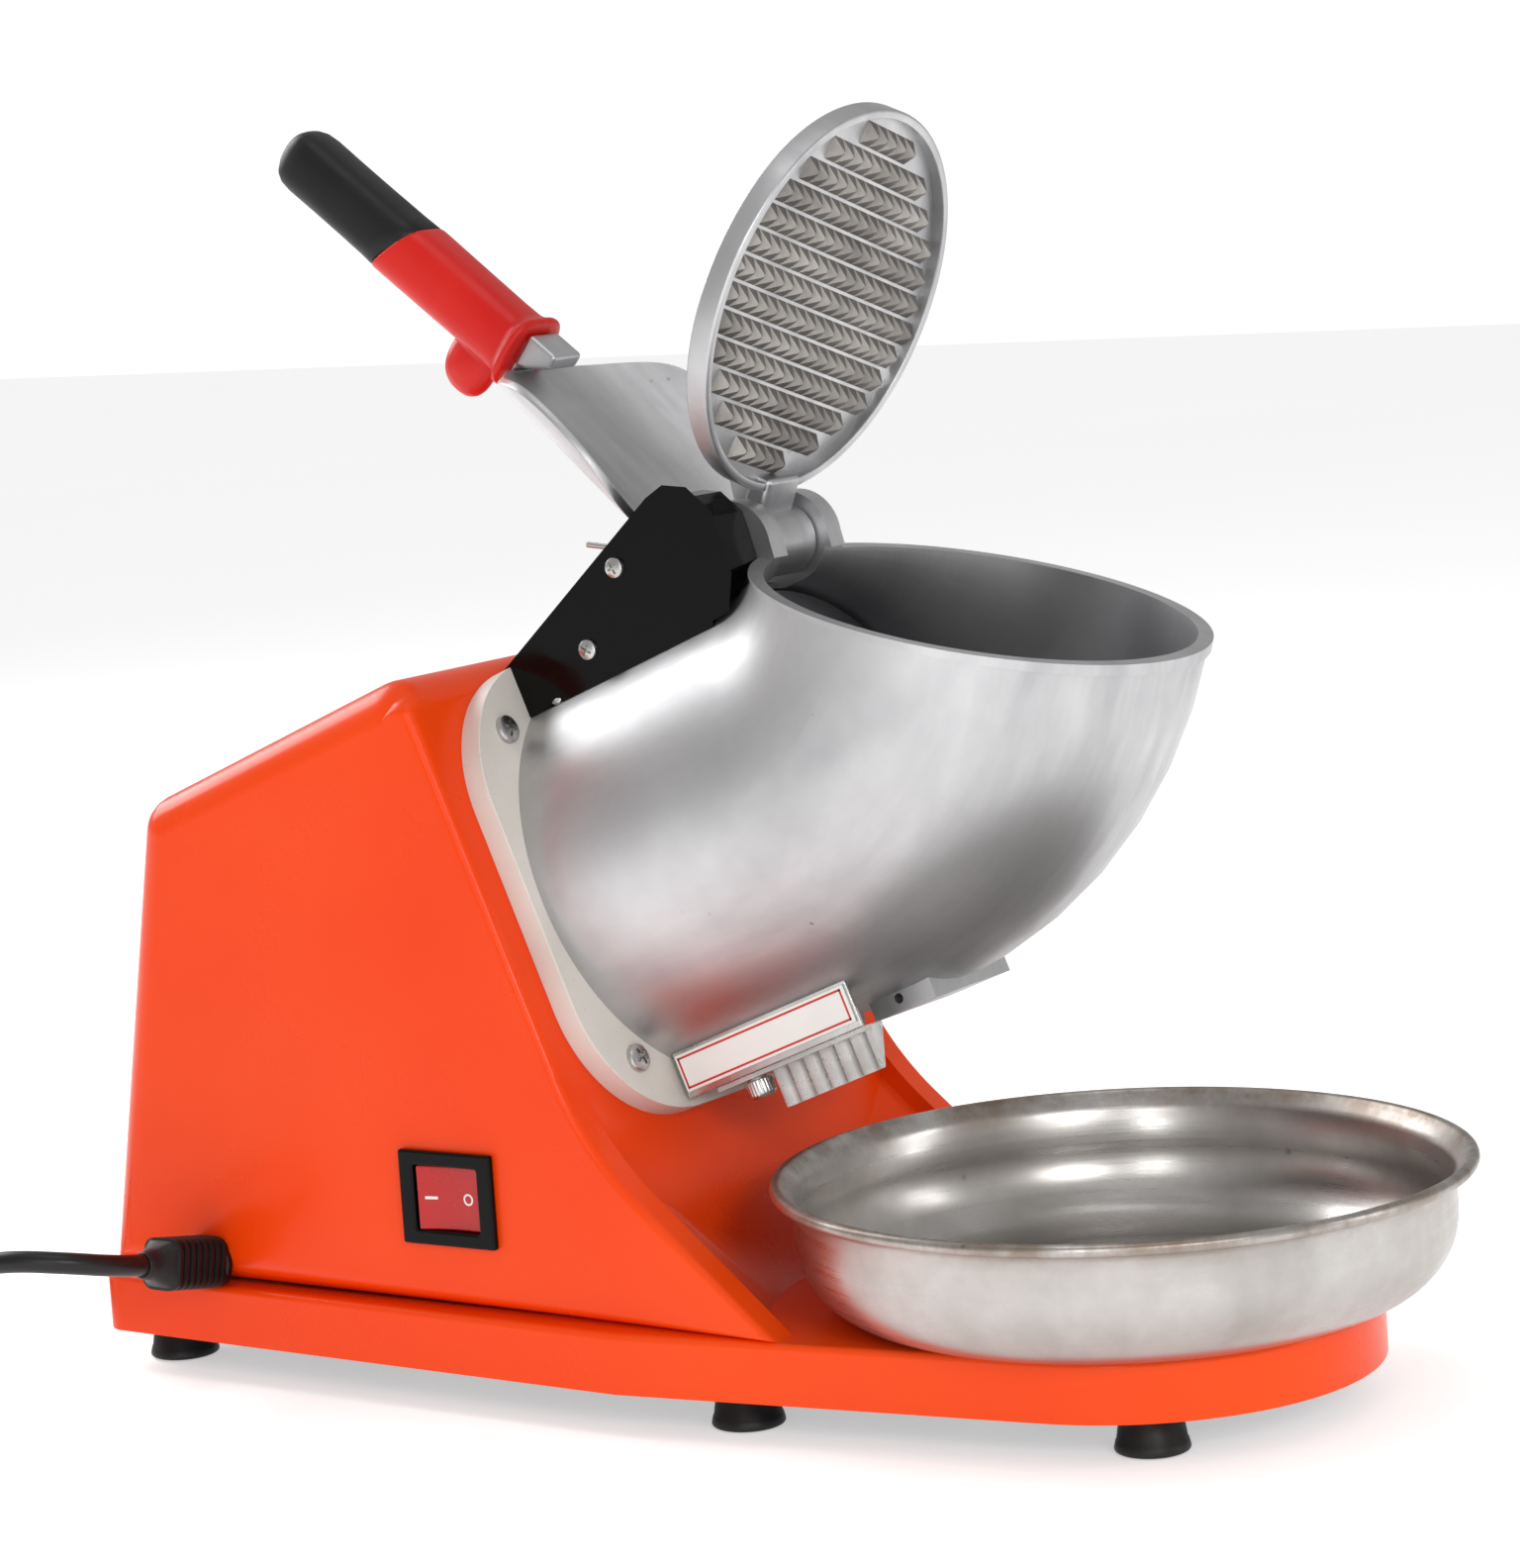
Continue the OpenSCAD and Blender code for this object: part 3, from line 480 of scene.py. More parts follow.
def repeated(name, source, places, finish):
    """One mesh of copies of the source, set at the places, each a frame, by a Geometry Nodes tree."""
    points = bpy.data.meshes.new(name + "_points")
    points.from_pydata([p.translation for p in places], [], [])
    turns = points.attributes.new("turn", "FLOAT_VECTOR", "POINT")
    for i, p in enumerate(places):
        turns.data[i].vector = p.to_euler()
    obj = bpy.data.objects.new(name, points)
    bpy.context.scene.collection.objects.link(obj)
    tree = bpy.data.node_groups.new(name, "GeometryNodeTree")
    tree.interface.new_socket("Geometry", in_out="INPUT", socket_type="NodeSocketGeometry")
    tree.interface.new_socket("Geometry", in_out="OUTPUT", socket_type="NodeSocketGeometry")
    size = tree.interface.new_socket("Size", in_out="INPUT", socket_type="NodeSocketFloat")
    nodes, link = tree.nodes, tree.links.new
    start, end = nodes.new("NodeGroupInput"), nodes.new("NodeGroupOutput")
    shape = nodes.new("GeometryNodeObjectInfo")
    shape.inputs["Object"].default_value = source
    turn = nodes.new("GeometryNodeInputNamedAttribute")
    turn.data_type = "FLOAT_VECTOR"
    turn.inputs["Name"].default_value = "turn"
    place = nodes.new("GeometryNodeInstanceOnPoints")
    real = nodes.new("GeometryNodeRealizeInstances")
    paint = nodes.new("GeometryNodeSetMaterial")
    paint.inputs["Material"].default_value = FINISHES[finish]
    link(start.outputs["Geometry"], place.inputs["Points"])
    link(shape.outputs["Geometry"], place.inputs["Instance"])
    link(turn.outputs["Attribute"], place.inputs["Rotation"])
    link(start.outputs["Size"], place.inputs["Scale"])
    link(place.outputs["Instances"], real.inputs["Geometry"])
    link(real.outputs["Geometry"], paint.inputs["Geometry"])
    link(paint.outputs["Geometry"], end.inputs["Geometry"])
    step = obj.modifiers.new("copies", "NODES")
    step.node_group = tree
    step[size.identifier] = 1.0
    baked(obj)
    bpy.data.objects.remove(source)
    return smooth(obj, 30)


# ---- Cord: its route is part.scad's ----
CORD_R = 3.5 * MM
CORD_ROUTE = [
    (-173, -121.3, 46.8), (-173.6, -129, 48.4), (-175.6, -136.5, 50.2), (-179.2, -143.4, 52),
    (-184.6, -149.4, 53.4), (-191.4, -153.8, 54.2), (-199, -156.6, 54), (-209, -157.8, 52.4),
    (-220, -157.4, 48), (-231, -155.6, 41.5), (-242, -153.2, 33), (-254, -150.2, 24.4), (-267, -146.4, 16.6),
    (-281, -142, 10.4), (-297, -137.2, 6), (-314, -133.2, 3.9), (-332, -130.4, 3.5), (-350, -129.5, 3.5)]
TAIL_ROUTE = [
    (-362, -128.2, 9.4), (-374, -123.4, 7.6), (-384.4, -115.6, 5.8), (-392.2, -105.2, 4.2), (-397, -93, 3.5),
    (-399, -80, 4.2), (-399, -68, 6.6), (-399, -58, 8)]
COIL_CENTRE = Vector((-0.350, -0.084, 0))
COIL_MID_R = 42 * MM
# Each turn's column, in or out, and its layer
COIL_TURNS = [(1, 0), (-1, 0), (-1, 1), (1, 1)]
POINTS_A_TURN = 36


def coil_points():
    """The turns lie a cord's width apart: out to in below, then in to out on top."""
    points = []
    steps = len(COIL_TURNS) * POINTS_A_TURN
    for k in range(1, steps + 1):
        turn, part = divmod(k, POINTS_A_TURN)
        here = COIL_TURNS[min(turn, len(COIL_TURNS) - 1)]
        before = COIL_TURNS[max(turn - 1, 0)]
        ease = min(part / POINTS_A_TURN * 5, 1.0) if 0 < turn < len(COIL_TURNS) else 1.0
        ease = ease * ease * (3 - 2 * ease)
        column = before[0] + (here[0] - before[0]) * ease
        layer = before[1] + (here[1] - before[1]) * ease
        angle = -math.pi / 2 - math.tau * k / POINTS_A_TURN
        radius = COIL_MID_R + column * CORD_R
        points.append(COIL_CENTRE + Vector((radius * math.cos(angle), radius * math.sin(angle),
                                            CORD_R * (1 + 2 * layer))))
    return points


def make_cord():
    path = [Vector(p) * MM for p in CORD_ROUTE] + coil_points() + [Vector(p) * MM for p in TAIL_ROUTE]
    curve = bpy.data.curves.new("mains_lead", "CURVE")
    curve.dimensions, curve.bevel_depth, curve.bevel_resolution = "3D", CORD_R, 5
    curve.resolution_u, curve.use_fill_caps = 4, True
    spline = curve.splines.new("BEZIER")
    spline.bezier_points.add(len(path) - 1)
    for point, place in zip(spline.bezier_points, path):
        point.co, point.handle_left_type, point.handle_right_type = place, "AUTO", "AUTO"
    curve.materials.append(FINISHES["cord_black"])
    lead = bpy.data.objects.new("mains_lead", curve)
    bpy.context.scene.collection.objects.link(lead)
    add_piece(lead, "base", ("mains_cord", "cord_coil"))
    return lead, path[0]


def make_tie():
    """A twist tie round the coil's four strands."""
    bm = bmesh.new()
    outline = rounded_outline(4.3 * CORD_R, 4.3 * CORD_R, 3.4, 28)
    middle = COIL_CENTRE + Vector((COIL_MID_R, 0, 2 * CORD_R))
    floor_gap, half_width = 0.2 * MM, 3 * MM
    rings = []
    for grow in (1.0, 1.07):
        for y in (-half_width, half_width):
            rings.append([middle + Vector((x * grow, y, max(z * grow, floor_gap - middle.z)))
                          for x, z in outline])
    made = [[bm.verts.new(p) for p in ring] for ring in rings]
    for first, second in ((0, 1), (1, 3), (3, 2), (2, 0)):
        for k in range(len(outline)):
            n = (k + 1) % len(outline)
            bm.faces.new([made[first][k], made[first][n], made[second][n], made[second][k]])
    return add_piece(smooth(new_object("coil_tie", bm, finishes=("black_rubber",))), "base")


def make_plug():
    """The plug's moulding: a flat body with finger grooves and a tapered neck."""
    low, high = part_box("plug_body")
    middle = Vector(((low.x + high.x) / 2, 0, (low.z + high.z) / 2))
    length = high.y - low.y
    # Each section's place along the body, its width, its height and how square it is
    sections = ((0, 9, 9, 2), (0.08, 11, 11, 2), (0.3, 12.4, 12.4, 2), (0.34, 15, 13, 3), (0.40, 21, 14.6, 4),
                (0.46, 23.6, 15.4, 5), (0.55, 23.6, 15.4, 5), (0.60, 21.6, 14.6, 5), (0.66, 23.6, 15.4, 5),
                (0.72, 21.6, 14.6, 5), (0.78, 23.6, 15.6, 5), (0.97, 23.8, 15.8, 5), (1.0, 22.6, 14.8, 5))
    rings = []
    for part, width, height, power in sections:
        y = low.y + part * length
        rings.append([middle + Vector((x * MM, y, z * MM))
                      for x, z in rounded_outline(width, height, power, 48)])
    bm = bmesh.new()
    loft(bm, rings)
    moulding = smooth(new_object("plug_moulding", bm, finishes=("cord_black",)), 40)
    return add_piece(moulding, "base", ("plug_body",))


lead, cord_exit = make_cord()
tie = make_tie()
plug = make_plug()


# ---- Base, housing and feet ----
BASE_REAR_W, BASE_MID_W, NOSE_R = 87 * MM, 94 * MM, 76 * MM
NOSE_X, KINK_X, REAR_X = 119 * MM, -10 * MM, -225 * MM
DECK_Z = 32 * MM
WALL = 3 * MM
ROUND = 13 * MM
REAR_LEAN = math.radians(11)
ROOF_UP = 82 * MM
FLANGE_T = 8 * MM
SWEEP_R, SWEEP_FROM, TOE_SLOPE = 100 * MM, -50 * MM, math.radians(40)


def rounded_shell(bm, outline, radii, levels, lift):
    """Skins copies of an anticlockwise outline, one a level, with its edge rounded over.

    Each point is drawn in by its own radius. lift turns a point and its level into 3-D.
    """
    count = len(outline)
    normals = []
    for i, here in enumerate(outline):
        before, after = Vector(outline[i - 1]), Vector(outline[(i + 1) % count])
        here = Vector(here)
        sides = [d for d in (here - before, after - here) if d.length > 1e-9]
        turned = [Vector((d.y, -d.x)).normalized() for d in sides]
        middle = sum(turned, Vector((0, 0)))
        middle.normalize()
        normals.append(middle / max(middle.dot(turned[0]), 0.4))
    rings = []
    for level in levels:
        ring = []
        for point, normal, radius in zip(outline, normals, radii):
            over = max(0.0, radius - level)
            drawn = radius - math.sqrt(max(radius * radius - over * over, 0.0))
            ring.append(lift(Vector(point) - normal * drawn, level))
        rings.append([bm.verts.new(p) for p in ring])
    for lower, upper in zip(rings, rings[1:]):
        for k in range(count):
            bm.faces.new([lower[k], lower[(k + 1) % count], upper[(k + 1) % count], upper[k]])
    return rings


def housing_outline():
    """The housing's side view: leaning back, sloped roof, and a front that sweeps out to the toe."""
    roof = DRUM @ Vector((0, 0, ROOF_UP))
    foot = (REAR_X + WALL, DECK_Z)
    rear_angle = math.pi / 2 - REAR_LEAN
    reach = ((roof.z - foot[1]) - (roof.x - foot[0]) * math.tan(TILT)) / (
        math.sin(rear_angle) - math.cos(rear_angle) * math.tan(TILT))
    top = Vector((foot[0] + reach * math.cos(rear_angle), foot[1] + reach * math.sin(rear_angle)))
    back = (rear_angle + TILT) / 2 - math.pi / 2
    centre = top + ROUND / math.cos((rear_angle - TILT) / 2) * Vector((math.cos(back), math.sin(back)))
    points = [foot] + arc(centre, ROUND, math.degrees(rear_angle) + 90, math.degrees(TILT) + 90, 10)
    front = DRUM @ Vector((-FLANGE_T - ROUND, 0, ROOF_UP - ROUND))
    points += arc((front.x, front.z), ROUND, math.degrees(TILT) + 90, math.degrees(TILT), 10)
    sweep = DRUM @ Vector((-FLANGE_T + SWEEP_R, 0, SWEEP_FROM))
    points += arc((sweep.x, sweep.z), SWEEP_R, 180 + math.degrees(TILT), 270 - math.degrees(TOE_SLOPE), 18)
    last = Vector(points[-1])
    points.append((last.x + (last.y - DECK_Z) / math.tan(TOE_SLOPE), DECK_Z))
    return points


def make_housing():
    outline = housing_outline()
    # Wide round the foot, the rear and the roof, then narrowing to the front edge
    wide_points, front_edge = 19, 2.6 * MM
    radii = [ROUND] * wide_points + [ROUND * part for part in (0.8, 0.6, 0.45, 0.3)]
    radii += [front_edge] * (len(outline) - len(radii))
    outline, radii = outline[::-1], radii[::-1]
    half = BASE_REAR_W
    depths = [d * MM for d in (0, 0.1, 0.3, 0.65, 1.2, 1.9, 2.6, 4, 6, 8.5, 11, 13)]
    levels = depths + [half] + [2 * half - depth for depth in depths[::-1]]
    bm = bmesh.new()
    rings = rounded_shell(bm, outline, radii, [min(x, 2 * half - x) for x in levels], lambda p, _: p.to_3d())
    for ring, level in zip(rings, levels):
        for vertex in ring:
            vertex.co = Vector((vertex.co.x, level - half, max(vertex.co.y, DECK_Z)))
    bm.faces.new(rings[0][::-1])
    bm.faces.new(rings[-1])
    bmesh.ops.recalc_face_normals(bm, faces=bm.faces)
    shell = new_object("housing", bm, finishes=("orange_shell",))
    cut(shell, scoop_tool())
    # Open it to the floor, and give it its wall
    bm = bmesh.new()
    bm.from_mesh(shell.data)
    under = [f for f in bm.faces if f.normal.z < -0.95 and f.calc_center_median().z < DECK_Z + MM]
    bmesh.ops.delete(bm, geom=under, context="FACES_ONLY")
    bm.to_mesh(shell.data)
    bm.free()
    sheet = shell.modifiers.new("sheet", "SOLIDIFY")
    sheet.thickness, sheet.offset = 1.8 * MM, -1
    baked(shell)
    low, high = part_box("switch_body")
    gap, deep = 0.3 * MM, 10 * MM
    window = bmesh.new()
    block(window, (low.x - gap, -half - deep, low.z - gap), (high.x + gap, -half + deep, high.z + gap))
    tools = [new_object("switch_window", window)]
    for i in range(9):
        vent = bmesh.new()
        x = (-150 + 7 * i) * MM
        block(vent, (x, half - deep, 60 * MM), (x + 3 * MM, half + deep, 100 * MM))
        tools.append(new_object("vent", vent))
    cut(shell, *tools)
    smooth(shell, 30)
    flats = shell.modifiers.new("flats", "WEIGHTED_NORMAL")
    flats.keep_sharp, flats.weight = True, 100
    add_piece(baked(shell), "base", ("housing_shell",))


def scoop_tool():
    """What the front face is set back by between its lips, round the bowl: a cone that widens upward."""
    bm = bmesh.new()
    lip = 76 * MM
    low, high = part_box("bowl")
    foot_r, foot_z, rise = 109 * MM, DECK_Z - MM, 100 * MM
    lathe(bm, [(0, foot_z), (foot_r, foot_z), (foot_r + rise, foot_z + rise), (0, foot_z + rise)],
          128, Matrix.Translation(((low.x + high.x) / 2, 0, 0)))
    tool = new_object("scoop", bm)
    # Kept between the lips, under the drum and behind the flange
    bottom, top, behind = -250 * MM, -45 * MM, 400 * MM
    keep = bmesh.new()
    block(keep, (-FLANGE_T, -lip, bottom), (behind, lip, top), DRUM)
    bounds = new_object("scoop_bounds", keep)
    step = tool.modifiers.new("keep", "BOOLEAN")
    step.operation, step.object, step.solver = "INTERSECT", bounds, "EXACT"
    baked(tool)
    bpy.data.objects.remove(bounds)
    return tool


def base_outline():
    """Half the base's plan, from the rear: a long taper, a kink and a round nose, and its mirror."""
    reach = math.hypot(NOSE_X - KINK_X, BASE_MID_W)
    start = math.degrees(math.atan2(-BASE_MID_W, KINK_X - NOSE_X) + math.acos(NOSE_R / reach))
    near = arc((REAR_X + 10 * MM, -BASE_REAR_W + 10 * MM), 10 * MM, -180, -90, 8)
    near += [(KINK_X, -BASE_MID_W)] + arc((NOSE_X, 0), NOSE_R, start, 0, 40)
    return near + [(x, -y) for x, y in near[-2::-1]]


def make_base():
    outline = base_outline()
    radius = 2.2 * MM
    levels = [radius * (1 - math.sin(math.radians(a))) for a in (90, 60, 40, 24, 10, 0)]
    bm = bmesh.new()
    rings = rounded_shell(bm, outline, [radius] * len(outline), [0.019] + levels[::-1][:-1] + [0.0],
                          lambda p, level: Vector((p.x, p.y, DECK_Z - level)))
    bm.faces.new(rings[-1])
    tray = new_object("base_deck", bm, finishes=("orange_shell",))
    thick = tray.modifiers.new("sheet", "SOLIDIFY")
    thick.thickness, thick.offset = WALL, -1
    baked(tray)
    smooth(tray, 33)
    flats = tray.modifiers.new("flats", "WEIGHTED_NORMAL")
    flats.keep_sharp, flats.weight = True, 100
    add_piece(baked(tray), "base", ("base_tray",))


def make_body():
    make_base()
    make_housing()
    add_copy("flange_plate", "flange", "cream_flange", 1.4 * MM, 3)


def make_feet():
    """Tapered rubber feet with a moulded heel and a recess for the screw."""
    for name in ("rear_left", "rear_right", "mid_left", "mid_right", "front_left", "front_right"):
        low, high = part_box("foot_" + name)
        radius, height = (high.x - low.x) / 2, high.z - low.z
        top = radius - 2.2 * MM
        profile = [(2.3 * MM, 5 * MM), (5 * MM, 5 * MM), (5 * MM, 0.4 * MM), (5.4 * MM, 0)]
        profile += arc((radius - 1.0 * MM, 1.0 * MM), 1.0 * MM, -90, 10, 5)
        profile += [(radius - 0.5 * MM, 3.2 * MM), (radius - 0.8 * MM, 3.5 * MM)]
        profile += arc((top - 0.8 * MM, height - 0.8 * MM), 0.8 * MM, 10, 90, 4) + [(2.3 * MM, height)]
        bm = bmesh.new()
        lathe(bm, profile + profile[:1], 64)
        centre = Matrix.Translation(((low.x + high.x) / 2, (low.y + high.y) / 2, low.z))
        foot = smooth(new_object("rubber_foot_" + name, bm, centre, ("foot_rubber",)), 50)
        add_piece(foot, "base", ("foot_" + name,))


# ---- Drum and hopper ----
def make_hopper():
    add_copy("hopper", "cast_hopper", "cast_aluminium", 0.9 * MM, 3, 25)


def screw_head(radius, height, drive=0.62):
    """A pan head with a cross recess, standing on the origin along Z."""
    bm = bmesh.new()
    crown = [(radius * math.cos(math.radians(a)), height * (0.45 + 0.55 * math.sin(math.radians(a))))
             for a in (0, 20, 40, 60, 78)]
    lathe(bm, [(0, -0.2 * height), (radius * 0.96, -0.2 * height), (radius, 0)] + crown + [(0, height)], 28)
    head = new_object("screw_head", bm)
    tools = []
    for turn in (0, math.pi / 2):
        arm = bmesh.new()
        w, l = radius * 0.11, radius * drive
        block(arm, (-l, -w, height * 0.42), (l, w, height * 1.3), Matrix.Rotation(turn, 4, "Z"))
        tools.append(new_object("recess", arm))
    return cut(head, *tools)


def facing(place, direction, spin=0.0):
    """A frame at the place whose Z looks along the direction."""
    turn = Vector((0, 0, 1)).rotation_difference(direction.normalized()).to_matrix().to_4x4()
    return Matrix.Translation(place) @ turn @ Matrix.Rotation(spin, 4, "Z")


def make_screws():
    out = (DRUM.to_3x3() @ Vector((1, 0, 0)))
    places = [facing(DRUM @ Vector((0.0, y, z)), out, 0.4 + i * 0.7)
              for i, (y, z) in enumerate((y, z) for y in (-0.055, 0.055) for z in (-0.055, 0.055))]
    heads = repeated("flange_screw_heads", screw_head(4.6 * MM, 2.6 * MM), places, "steel")
    add_piece(heads, "base", ("flange_screws",))
    near = Vector((0, -1, 0))
    places = [facing(DRUM @ (Vector((a, -41.0, c)) * MM), near, spin)
              for a, c, spin in ((52, 87, 0.5), (31, 68, 1.1))]
    lean = math.radians(33)
    radial = DRUM.to_3x3() @ Vector((0, -math.sin(lean), math.cos(lean)))
    places.append(facing(DRUM @ Vector((0.012, -DRUM_R * math.sin(lean) - 0.0001, DRUM_R * math.cos(lean))),
                         radial, 0.2))
    heads = repeated("cover_screw_heads", screw_head(3.3 * MM, 1.9 * MM), places, "steel")
    add_piece(heads, "base", ("cover_screws",))


def slanted(obj, near_x, far_x):
    """Cuts the outlet's far side shorter than its near side, and closes the cut."""
    half = 45 * MM
    near, far = Vector((near_x, -half, 0)), Vector((far_x, half, 0))
    along = (far - near).normalized()
    bm = bmesh.new()
    bm.from_mesh(obj.data)
    everything = bm.verts[:] + bm.edges[:] + bm.faces[:]
    result = bmesh.ops.bisect_plane(bm, geom=everything, dist=1e-6, plane_co=near,
                                    plane_no=(along.y, -along.x, 0), clear_outer=True)
    rim = [e for e in result["geom_cut"] if isinstance(e, bmesh.types.BMEdge)]
    bmesh.ops.holes_fill(bm, edges=rim, sides=0)
    bm.to_mesh(obj.data)
    bm.free()
    return obj


def make_outlet():
    guard = slanted(copy_of("outlet_guard", "sheet_guard", "steel", 0.3 * MM), 60 * MM, -2 * MM)
    add_piece(guard, "base", ("outlet_guard",))
    chute = slanted(copy_of("outlet_chute", "clear_chute", "clear_plastic", 0.3 * MM), 64 * MM, 2 * MM)
    add_piece(chute, "base", ("outlet_chute",))
    # The label: a white plate with a red border line set in from its edge
    low, high = Vector((3, -41, -70.5)) * MM, Vector((72, -40, -58.5)) * MM
    bm = bmesh.new()
    block(bm, low, high)
    label = bevelled(new_object("label_plate_white", bm, DRUM, ("label",)), 0.3 * MM, 2)
    add_piece(label, "base", ("label_plate",))
    bm = bmesh.new()
    inset, line, lift = 0.9 * MM, 0.7 * MM, 0.06 * MM
    x0, x1, z0, z1 = low.x + inset, high.x - inset, low.z + inset, high.z - inset
    for a, b in (((x0, z0), (x1, z0 + line)), ((x0, z1 - line), (x1, z1)), ((x0, z0), (x0 + line, z1)),
                 ((x1 - line, z0), (x1, z1))):
        block(bm, (a[0], low.y - lift, a[1]), (b[0], low.y + lift, b[1]))
    add_piece(new_object("label_border", bm, DRUM, ("red_print",)), "base")


def make_thumb_screw():
    """A knurled head with a chamfered shoulder."""
    bm = bmesh.new()
    ridges, r, h = 26, 4.6 * MM, 6.4 * MM
    rings = []
    for z, scale, depth in ((0, 0.80, 0), (0.12, 0.96, 0.3), (0.2, 1.0, 1), (0.78, 1.0, 1), (0.86, 0.96, 0.3),
                            (0.9, 0.7, 0), (1.0, 0.68, 0)):
        ring = []
        for k in range(ridges * 4):
            a = math.tau * k / (ridges * 4)
            bite = 1 - 0.06 * depth * (0.5 + 0.5 * math.cos(a * ridges))
            ring.append(Vector((r * scale * bite * math.cos(a), r * scale * bite * math.sin(a), z * h)))
        rings.append(ring)
    loft(bm, rings)
    lathe(bm, [(0, h * 0.95), (2.0 * MM, h * 0.95), (2.0 * MM, h + 7.0 * MM), (0, h + 7.5 * MM)], 24)
    place = DRUM @ Matrix.Translation(Vector((24, -33, -72.5 - 8.1)) * MM)
    add_piece(smooth(new_object("knurled_screw", bm, place, ("steel",)), 40), "thumb_screw",
              ("thumb_screw",))


def make_cover():
    """The gloss cover over the lever switch, with a deep bevel round its outer face."""
    outline = [(1, 72), (1, 45), (80, 45), (83, 62), (88, 70), (89.5, 88), (85, 96.5), (79, 99.5), (73, 98.5)]
    outline = [(x * MM, z * MM) for x, z in outline]
    bm = bmesh.new()
    prism(bm, outline, -41 * MM, -20.4 * MM)
    bm.normal_update()
    outer = [e for e in bm.edges if all(v.co.y < -40.9 * MM for v in e.verts)]
    bmesh.ops.bevel(bm, geom=outer, offset=3.4 * MM, segments=1, affect="EDGES", profile=0.5)
    cover = new_object("switch_cover_gloss", bm, DRUM, ("black_gloss",))
    # Cut away what the drum, the elbow and the switch wire pass through
    radius, start, end = 70.25 * MM, -10 * MM, 120 * MM
    tool = bmesh.new()
    lathe(tool, [(0, start), (radius, start), (radius, end), (0, end)], 128)
    tools = [new_object("drum_tool", tool, DRUM @ Matrix.Rotation(math.pi / 2, 4, "Y"))]
    tool = bmesh.new()
    elbow_r = 71.5 * MM
    ring = [(HINGE_DROP + elbow_r * math.cos(math.tau * k / 72), elbow_r * math.sin(math.tau * k / 72))
            for k in range(72)]
    rows = []
    for step in range(-1, 17):
        angle = math.radians(-90 + step * 5)
        rows.append([Vector((DRUM_LEN + x * math.cos(angle), z, HINGE_DROP + x * math.sin(angle)))
                     for x, z in ring])
    loft(tool, rows)
    tools.append(new_object("elbow_tool", tool, DRUM))
    slot_tool = bmesh.new()
    block(slot_tool, (50 * MM, -31 * MM, 92 * MM), (60 * MM, -24 * MM, 103 * MM))
    tools.append(new_object("slot_tool", slot_tool, DRUM))
    cut(cover, *tools)
    add_piece(bevelled(cover, 0.7 * MM, 3, 30), "base", ("switch_cover",))


# ---- Lever ----
# Half-widths of the shield along its length, from the hub out
SHIELD_EDGE = [(7, 7), (12, 9.5), (18, 13), (24, 20), (30, 30), (36, 38.5), (44, 43), (54, 44.8), (66, 45),
               (76, 44), (84, 41), (91, 34), (97, 24), (101, 15), (104, 9.5)]


def make_shield():
    """A curved sheet, its ribs and neck, and the hub on the hinge pin."""
    bm = bmesh.new()
    across = 20
    curve_r, curve_drop = 58.5, 39
    grid = []
    for x, half in SHIELD_EDGE:
        row = []
        for k in range(across + 1):
            y = half * math.sin(math.pi / 2 * (2 * k / across - 1))
            z = math.sqrt(curve_r ** 2 - y * y) - curve_drop
            row.append(bm.verts.new(Vector((x, y, z)) * MM))
        grid.append(row)
    for near, far in zip(grid, grid[1:]):
        for k in range(across):
            bm.faces.new([near[k], near[k + 1], far[k + 1], far[k]])
    shield = new_object("lever_shield", bm, on_lever(SHIELD_ANGLE), ("cast_aluminium",))
    thick = shield.modifiers.new("wall", "SOLIDIFY")
    thick.thickness, thick.offset = 2.8 * MM, 0
    finer = shield.modifiers.new("finer", "SUBSURF")
    finer.levels = finer.render_levels = 2
    baked(shield)
    add_piece(smooth(shield, 60), "lever", ("lever_arm",))

    bm = bmesh.new()
    hub = Matrix.Translation(HINGE) @ Matrix.Rotation(math.pi / 2, 4, "X")
    lathe(bm, [(4.05 * MM, -12 * MM), (10.4 * MM, -12 * MM), (11 * MM, -11.4 * MM), (11 * MM, 11.4 * MM),
               (10.4 * MM, 12 * MM), (4.05 * MM, 12 * MM), (4.05 * MM, -12 * MM)], 64, hub)
    add_piece(smooth(new_object("lever_hub", bm, finishes=("cast_aluminium",))), "lever")
    for name, place, low, high in (
            ("back_rib", on_lever(SHIELD_ANGLE), (20, -4, 20.5), (100, 4, 25)),
            ("plate_link", on_lever(PLATE_ANGLE), (9, -9, -1), (22, 9, 7)),
            ("plate_strut", on_lever(PLATE_ANGLE + math.radians(32)), (8, -5, -6), (32, 5, 6))):
        bm = bmesh.new()
        block(bm, Vector(low) * MM, Vector(high) * MM)
        rib = bevelled(new_object(name, bm, place, ("cast_aluminium",)), 1.8 * MM, 3)
        add_piece(rib, "lever")
    neck_outline = [(-12, -9), (0.5, -9), (0.5, 3), (-4, 1.5), (-12, -4)]
    make_web("lever_neck", neck_outline, 7.5 * MM, GRIP, 1.4 * MM, 8)
    bm = bmesh.new()
    block(bm, Vector((0, -6, -6)) * MM, Vector((106, 6, 6)) * MM)
    bar = bevelled(new_object("tang_bar", bm, GRIP, ("steel",)), 0.8 * MM)
    add_piece(bar, "lever", ("lever_tang",))
    web_outline = [(0, -8), (0, 9), (7, 19.5), (30, 19.5), (20, 6), (9, -5)]
    make_web("shield_web", web_outline, 8 * MM, on_lever(SHIELD_ANGLE), 2 * MM, 20)


def make_web(name, outline, half_width, place, edge, angle):
    """A cast web on the lever: an outline in millimetres, extruded either side of the middle."""
    bm = bmesh.new()
    prism(bm, [(x * MM, z * MM) for x, z in outline], -half_width, half_width)
    web = bevelled(new_object(name, bm, place, ("cast_aluminium",)), edge, 3, angle)
    add_piece(web, "lever")


